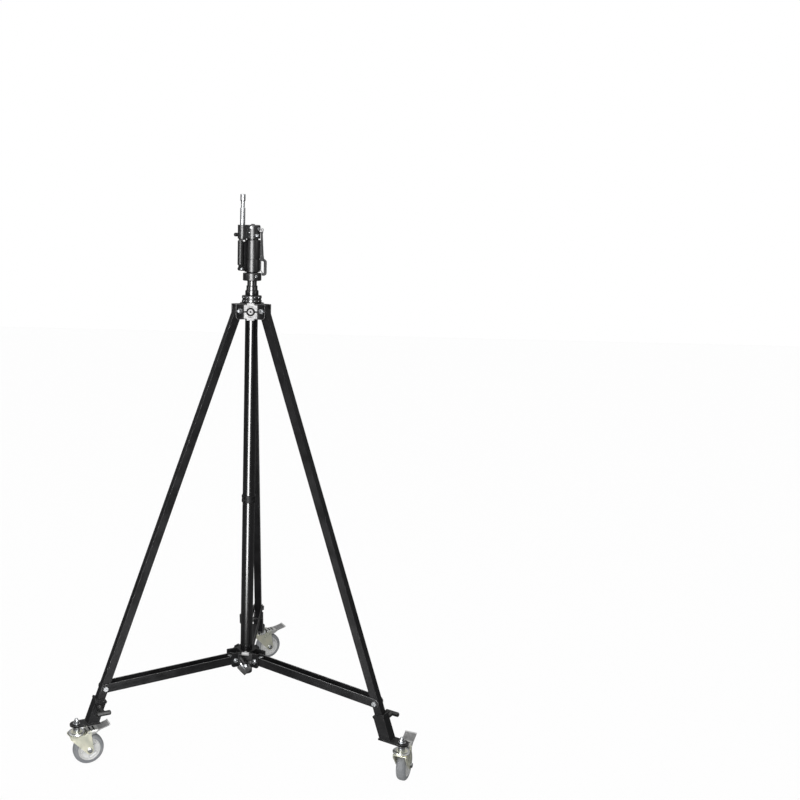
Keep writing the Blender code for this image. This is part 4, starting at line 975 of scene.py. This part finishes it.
def makeHeadBody():
    base = headTube + seatGap
    pinLow = headTube - head["pinLength"]
    top = capBottom - seatGap
    radius = head["radius"]
    neck = head["neck"]
    waist = radius - 2.5
    pin = tubes["oneRadius"] - tubes["wall"] - seatGap
    bm = bmesh.new()
    spin(bm, standPlace, [
        (0, pinLow), (pin, pinLow), (pin, base), (neck, base), (neck, headLower),
        (radius - 1, headLower), (radius, headLower + 1), (radius, grooveLow),
        (waist, grooveLow), (waist, grooveHigh), (radius, grooveHigh), (radius, bodyTop - 1),
        (radius - 1, bodyTop), (neck, bodyTop), (neck, top), (0, top)], 0.5, 64)
    fit("headBody", bm, "head", ["satinBlack"], ["head_body"])
    # a flat strip behind the pull lever
    bm = bmesh.new()
    half, low, high = head["guideHalf"], head["guideStart"], bodyTop - headLower - 2
    slab(bm, outwardPlace(0, headLower), panel(-half, half, low, high), radius - 1.5,
         radius + 0.6, 0.4)
    fit("leverGuide", bm, "head", ["blackPaint"])


def makeCap():
    dress("headCap", "head_cap", "head", "satinBlack", 0.7)
    bm = bmesh.new()
    wide, low = head["bossRadius"], -head["bossDrop"]
    spin(bm, armPlace(head["socketAngle"], capBottom, head["socketOut"]),
         [(0, low), (wide - 1.5, low), (wide, low + 1.4), (wide, 0.5), (0, 0.5)], 0.5, 40)
    fit("socketBoss", bm, "head", ["blackPaint"])
    bm = bmesh.new()
    radius = head["radius"]
    for angle, rise, width in capBolts:
        addBoltHead(bm, outwardPlace(angle, capBottom + rise, radius - 2.4), width=width)
    across, up = capStrip["halfWidth"], capStrip["halfHeight"]
    strip = outwardPlace(capStrip["angle"], capBottom + capStrip["rise"])
    slab(bm, strip, rounded(panel(-across, across, -up, up), 2.5, 4), radius - 3.2,
         radius + 1, 0.6)
    addBoltHead(bm, strip @ shift(0, 0, radius + 0.6), width=capStrip["bolt"])
    fit("capFittings", bm, "head", ["zinc"])


def makeSpigot():
    place = armPlace(head["socketAngle"], 0, head["socketOut"])
    base = capBottom + spigot["base"] + seatGap
    top = base + spigot["length"]
    high = top - spigot["tipLength"]
    low = high - spigot["waist"]
    wide, waist, chamfer = spigot["radius"], spigot["waistRadius"], spigot["chamfer"]
    bm = bmesh.new()
    spin(bm, place, [
        (0, base), (wide, base), (wide, low), (waist, low + 2), (waist, high - 2),
        (wide, high), (wide, top - chamfer), (wide - chamfer, top), (0, top)], 0.6, 40)
    fit("spigot", bm, "head", ["zinc"], ["spigot"])
    dress("spigotLockKnob", "spigot_lock_knob", "spigot_knob", "blackPlastic", 0.6, False)


def makeLevers():
    dress("sideLeverArm", "side_lever_arm", "side_lever", "blackPaint", 0.7)
    bm = bmesh.new()
    pin = armPlace(head["socketAngle"], bodyTop - leverPin["drop"], leverPin["out"])
    addBoltHead(bm, pin @ turnAlongY @ shift(0, 0, leverPin["proud"]),
                width=leverPin["width"])
    fit("sideLeverPin", bm, "side_lever", ["zinc"])
    dress("sideLeverGrip", "side_lever_grip", "side_grip", "blackPlastic", 0.6, False)
    dress("pullLever", "pull_lever", "pull_lever", "blackPaint", 0.9)


makeTube("secondTube", "stage_two", tubes["twoRadius"], tubes["twoTop"], "stage_two")
makeBush("upperTubeBush", "stage_two", tubes["twoRadius"] - tubes["wall"], tubes["oneRadius"],
         tubes["twoTop"], "stage_one_bush")
makeTube("topTube", "stage_one", tubes["oneRadius"], headTube, "stage_one")
makeHeadCollar()
makeHeadBody()
makeCap()
makeSpigot()
makeLevers()
print("mast and head")


# Floor, background, light and camera, in metres

centre = standPlace.translation
stage = {"floorHalf": 12, "floorTone": 0.9, "mirrorLoss": 0.75, "seeThrough": 0.98,
         "glowAtLevel": 0.08, "glowSpan": 0.6, "calmLight": 0.3}
shot = {"across": 0.284, "back": -3.292, "height": 1.711, "yaw": -0.089, "pitch": 0.174,
        "roll": 0.015, "lens": 47.25, "shift": 0.191, "sensor": 36}
# Each lamp's place and aim, across and back from the column's axis and up from the floor.
lamps = {
    "columnStrip": {"place": (-0.1, -0.95, 0.96), "aim": (0, 0, 0.96), "size": (0.45, 1.86),
                    "power": 42, "sheenOnly": True},
    "footStrip": {"place": (-0.08, -0.66, 0.14), "aim": (-0.02, 0, 0.14), "size": (0.3, 0.25),
                  "power": 1.1, "sheenOnly": True},
    "frontPanel": {"place": (-0.75, -3.5, 1.5), "aim": (0, 0, 1.1), "size": (1.1, 2),
                   "power": 45},
    "leftSoft": {"place": (-2.6, -1.2, 2.4), "aim": (0, 0, 0.8), "size": (1.2, 2),
                 "power": 11},
    "rightSoft": {"place": (2.8, -1.2, 2.2), "aim": (0, 0, 0.8), "size": (1.2, 2),
                  "power": 7},
    "topSoft": {"place": (0, 0, 4.2), "aim": (0, 0, 0), "size": (3, 3), "power": 24},
}


def makeBackground():
    # White where the camera sees it. Reflections see the same white overhead, dimmer towards
    # the level, and everything else gets a calm grey light.
    world = bpy.data.worlds.new("studio")
    world.use_nodes = True
    tree = world.node_tree
    paths = tree.nodes.new("ShaderNodeLightPath")
    seen = addMath(tree, "MAXIMUM", paths.outputs["Is Camera Ray"],
                   paths.outputs["Is Transmission Ray"])
    split = tree.nodes.new("ShaderNodeSeparateXYZ")
    tree.links.new(tree.nodes.new("ShaderNodeTexCoord").outputs["Generated"], split.inputs[0])
    glow = addSpan(tree, split.outputs["Z"], 0.0, stage["glowSpan"], stage["glowAtLevel"], 1.0)
    sheen = addMath(tree, "MULTIPLY", glow, paths.outputs["Is Glossy Ray"])
    rest = addMath(tree, "SUBTRACT", 1.0, paths.outputs["Is Glossy Ray"])
    calm = addMath(tree, "MAXIMUM", sheen, addMath(tree, "MULTIPLY", rest, stage["calmLight"]))
    back = tree.nodes["Background"]
    back.inputs["Color"].default_value = (1, 1, 1, 1)
    tree.links.new(addMath(tree, "MAXIMUM", calm, seen), back.inputs["Strength"])
    bpy.context.scene.world = world


def makeFloor():
    # The camera sees through it to the white world, and to feet that swing below it. It throws
    # light up at the stand all the same, and reflections see it darker than it is.
    material = bpy.data.materials.new("paleFloor")
    material.use_nodes = True
    tree = material.node_tree
    shader = tree.nodes["Principled BSDF"]
    shader.inputs["Roughness"].default_value = 0.9
    seeThrough = addNode(tree, "ShaderNodeBsdfTransparent")
    paths = tree.nodes.new("ShaderNodeLightPath")
    darker = addMath(tree, "MULTIPLY", paths.outputs["Is Glossy Ray"], stage["mirrorLoss"])
    tree.links.new(addMath(tree, "SUBTRACT", stage["floorTone"], darker),
                   shader.inputs["Base Color"])
    share = addMath(tree, "MULTIPLY", paths.outputs["Is Camera Ray"], stage["seeThrough"])
    mix = tree.nodes.new("ShaderNodeMixShader")
    tree.links.new(share, mix.inputs["Fac"])
    tree.links.new(shader.outputs["BSDF"], mix.inputs[1])
    tree.links.new(seeThrough.outputs["BSDF"], mix.inputs[2])
    tree.links.new(mix.outputs["Shader"], tree.nodes["Material Output"].inputs["Surface"])
    bm = bmesh.new()
    half = stage["floorHalf"]
    bm.faces.new([bm.verts.new((x, y, 0)) for x, y in panel(-half, half, -half, half)])
    floor = addMesh("paleFloor", bm)
    floor.data.materials.append(material)


def beside(point):
    return Vector((centre.x + point[0], centre.y + point[1], point[2]))


def addLamp(name, lamp):
    light = bpy.data.lights.new(name, "AREA")
    light.shape = "RECTANGLE"
    light.size, light.size_y = lamp["size"]
    light.energy = lamp["power"]
    made = addObject(name, light)
    made.location = beside(lamp["place"])
    aim = beside(lamp["aim"]) - beside(lamp["place"])
    made.rotation_euler = aim.to_track_quat("-Z", "Y").to_euler()
    made.visible_camera = False
    made.visible_diffuse = "sheenOnly" not in lamp


def makeCamera():
    yaw, pitch, roll = shot["yaw"], shot["pitch"], shot["roll"]
    forward = Vector((sin(yaw) * cos(pitch), cos(yaw) * cos(pitch), -sin(pitch)))
    level = Vector((cos(yaw), -sin(yaw), 0))
    right = level * cos(roll) + level.cross(forward) * sin(roll)
    data = bpy.data.cameras.new("camera")
    data.lens = shot["lens"]
    data.sensor_width = shot["sensor"]
    data.shift_x = shot["shift"]
    camera = addObject("camera", data)
    place = Matrix((right, right.cross(forward), -forward)).transposed().to_4x4()
    place.translation = beside((shot["across"], shot["back"], shot["height"]))
    camera.matrix_world = place
    bpy.context.scene.camera = camera


makeBackground()
makeFloor()
makeCamera()
for name, lamp in lamps.items():
    addLamp(name, lamp)
bpy.context.scene.view_settings.view_transform = "Standard"
print("stage")
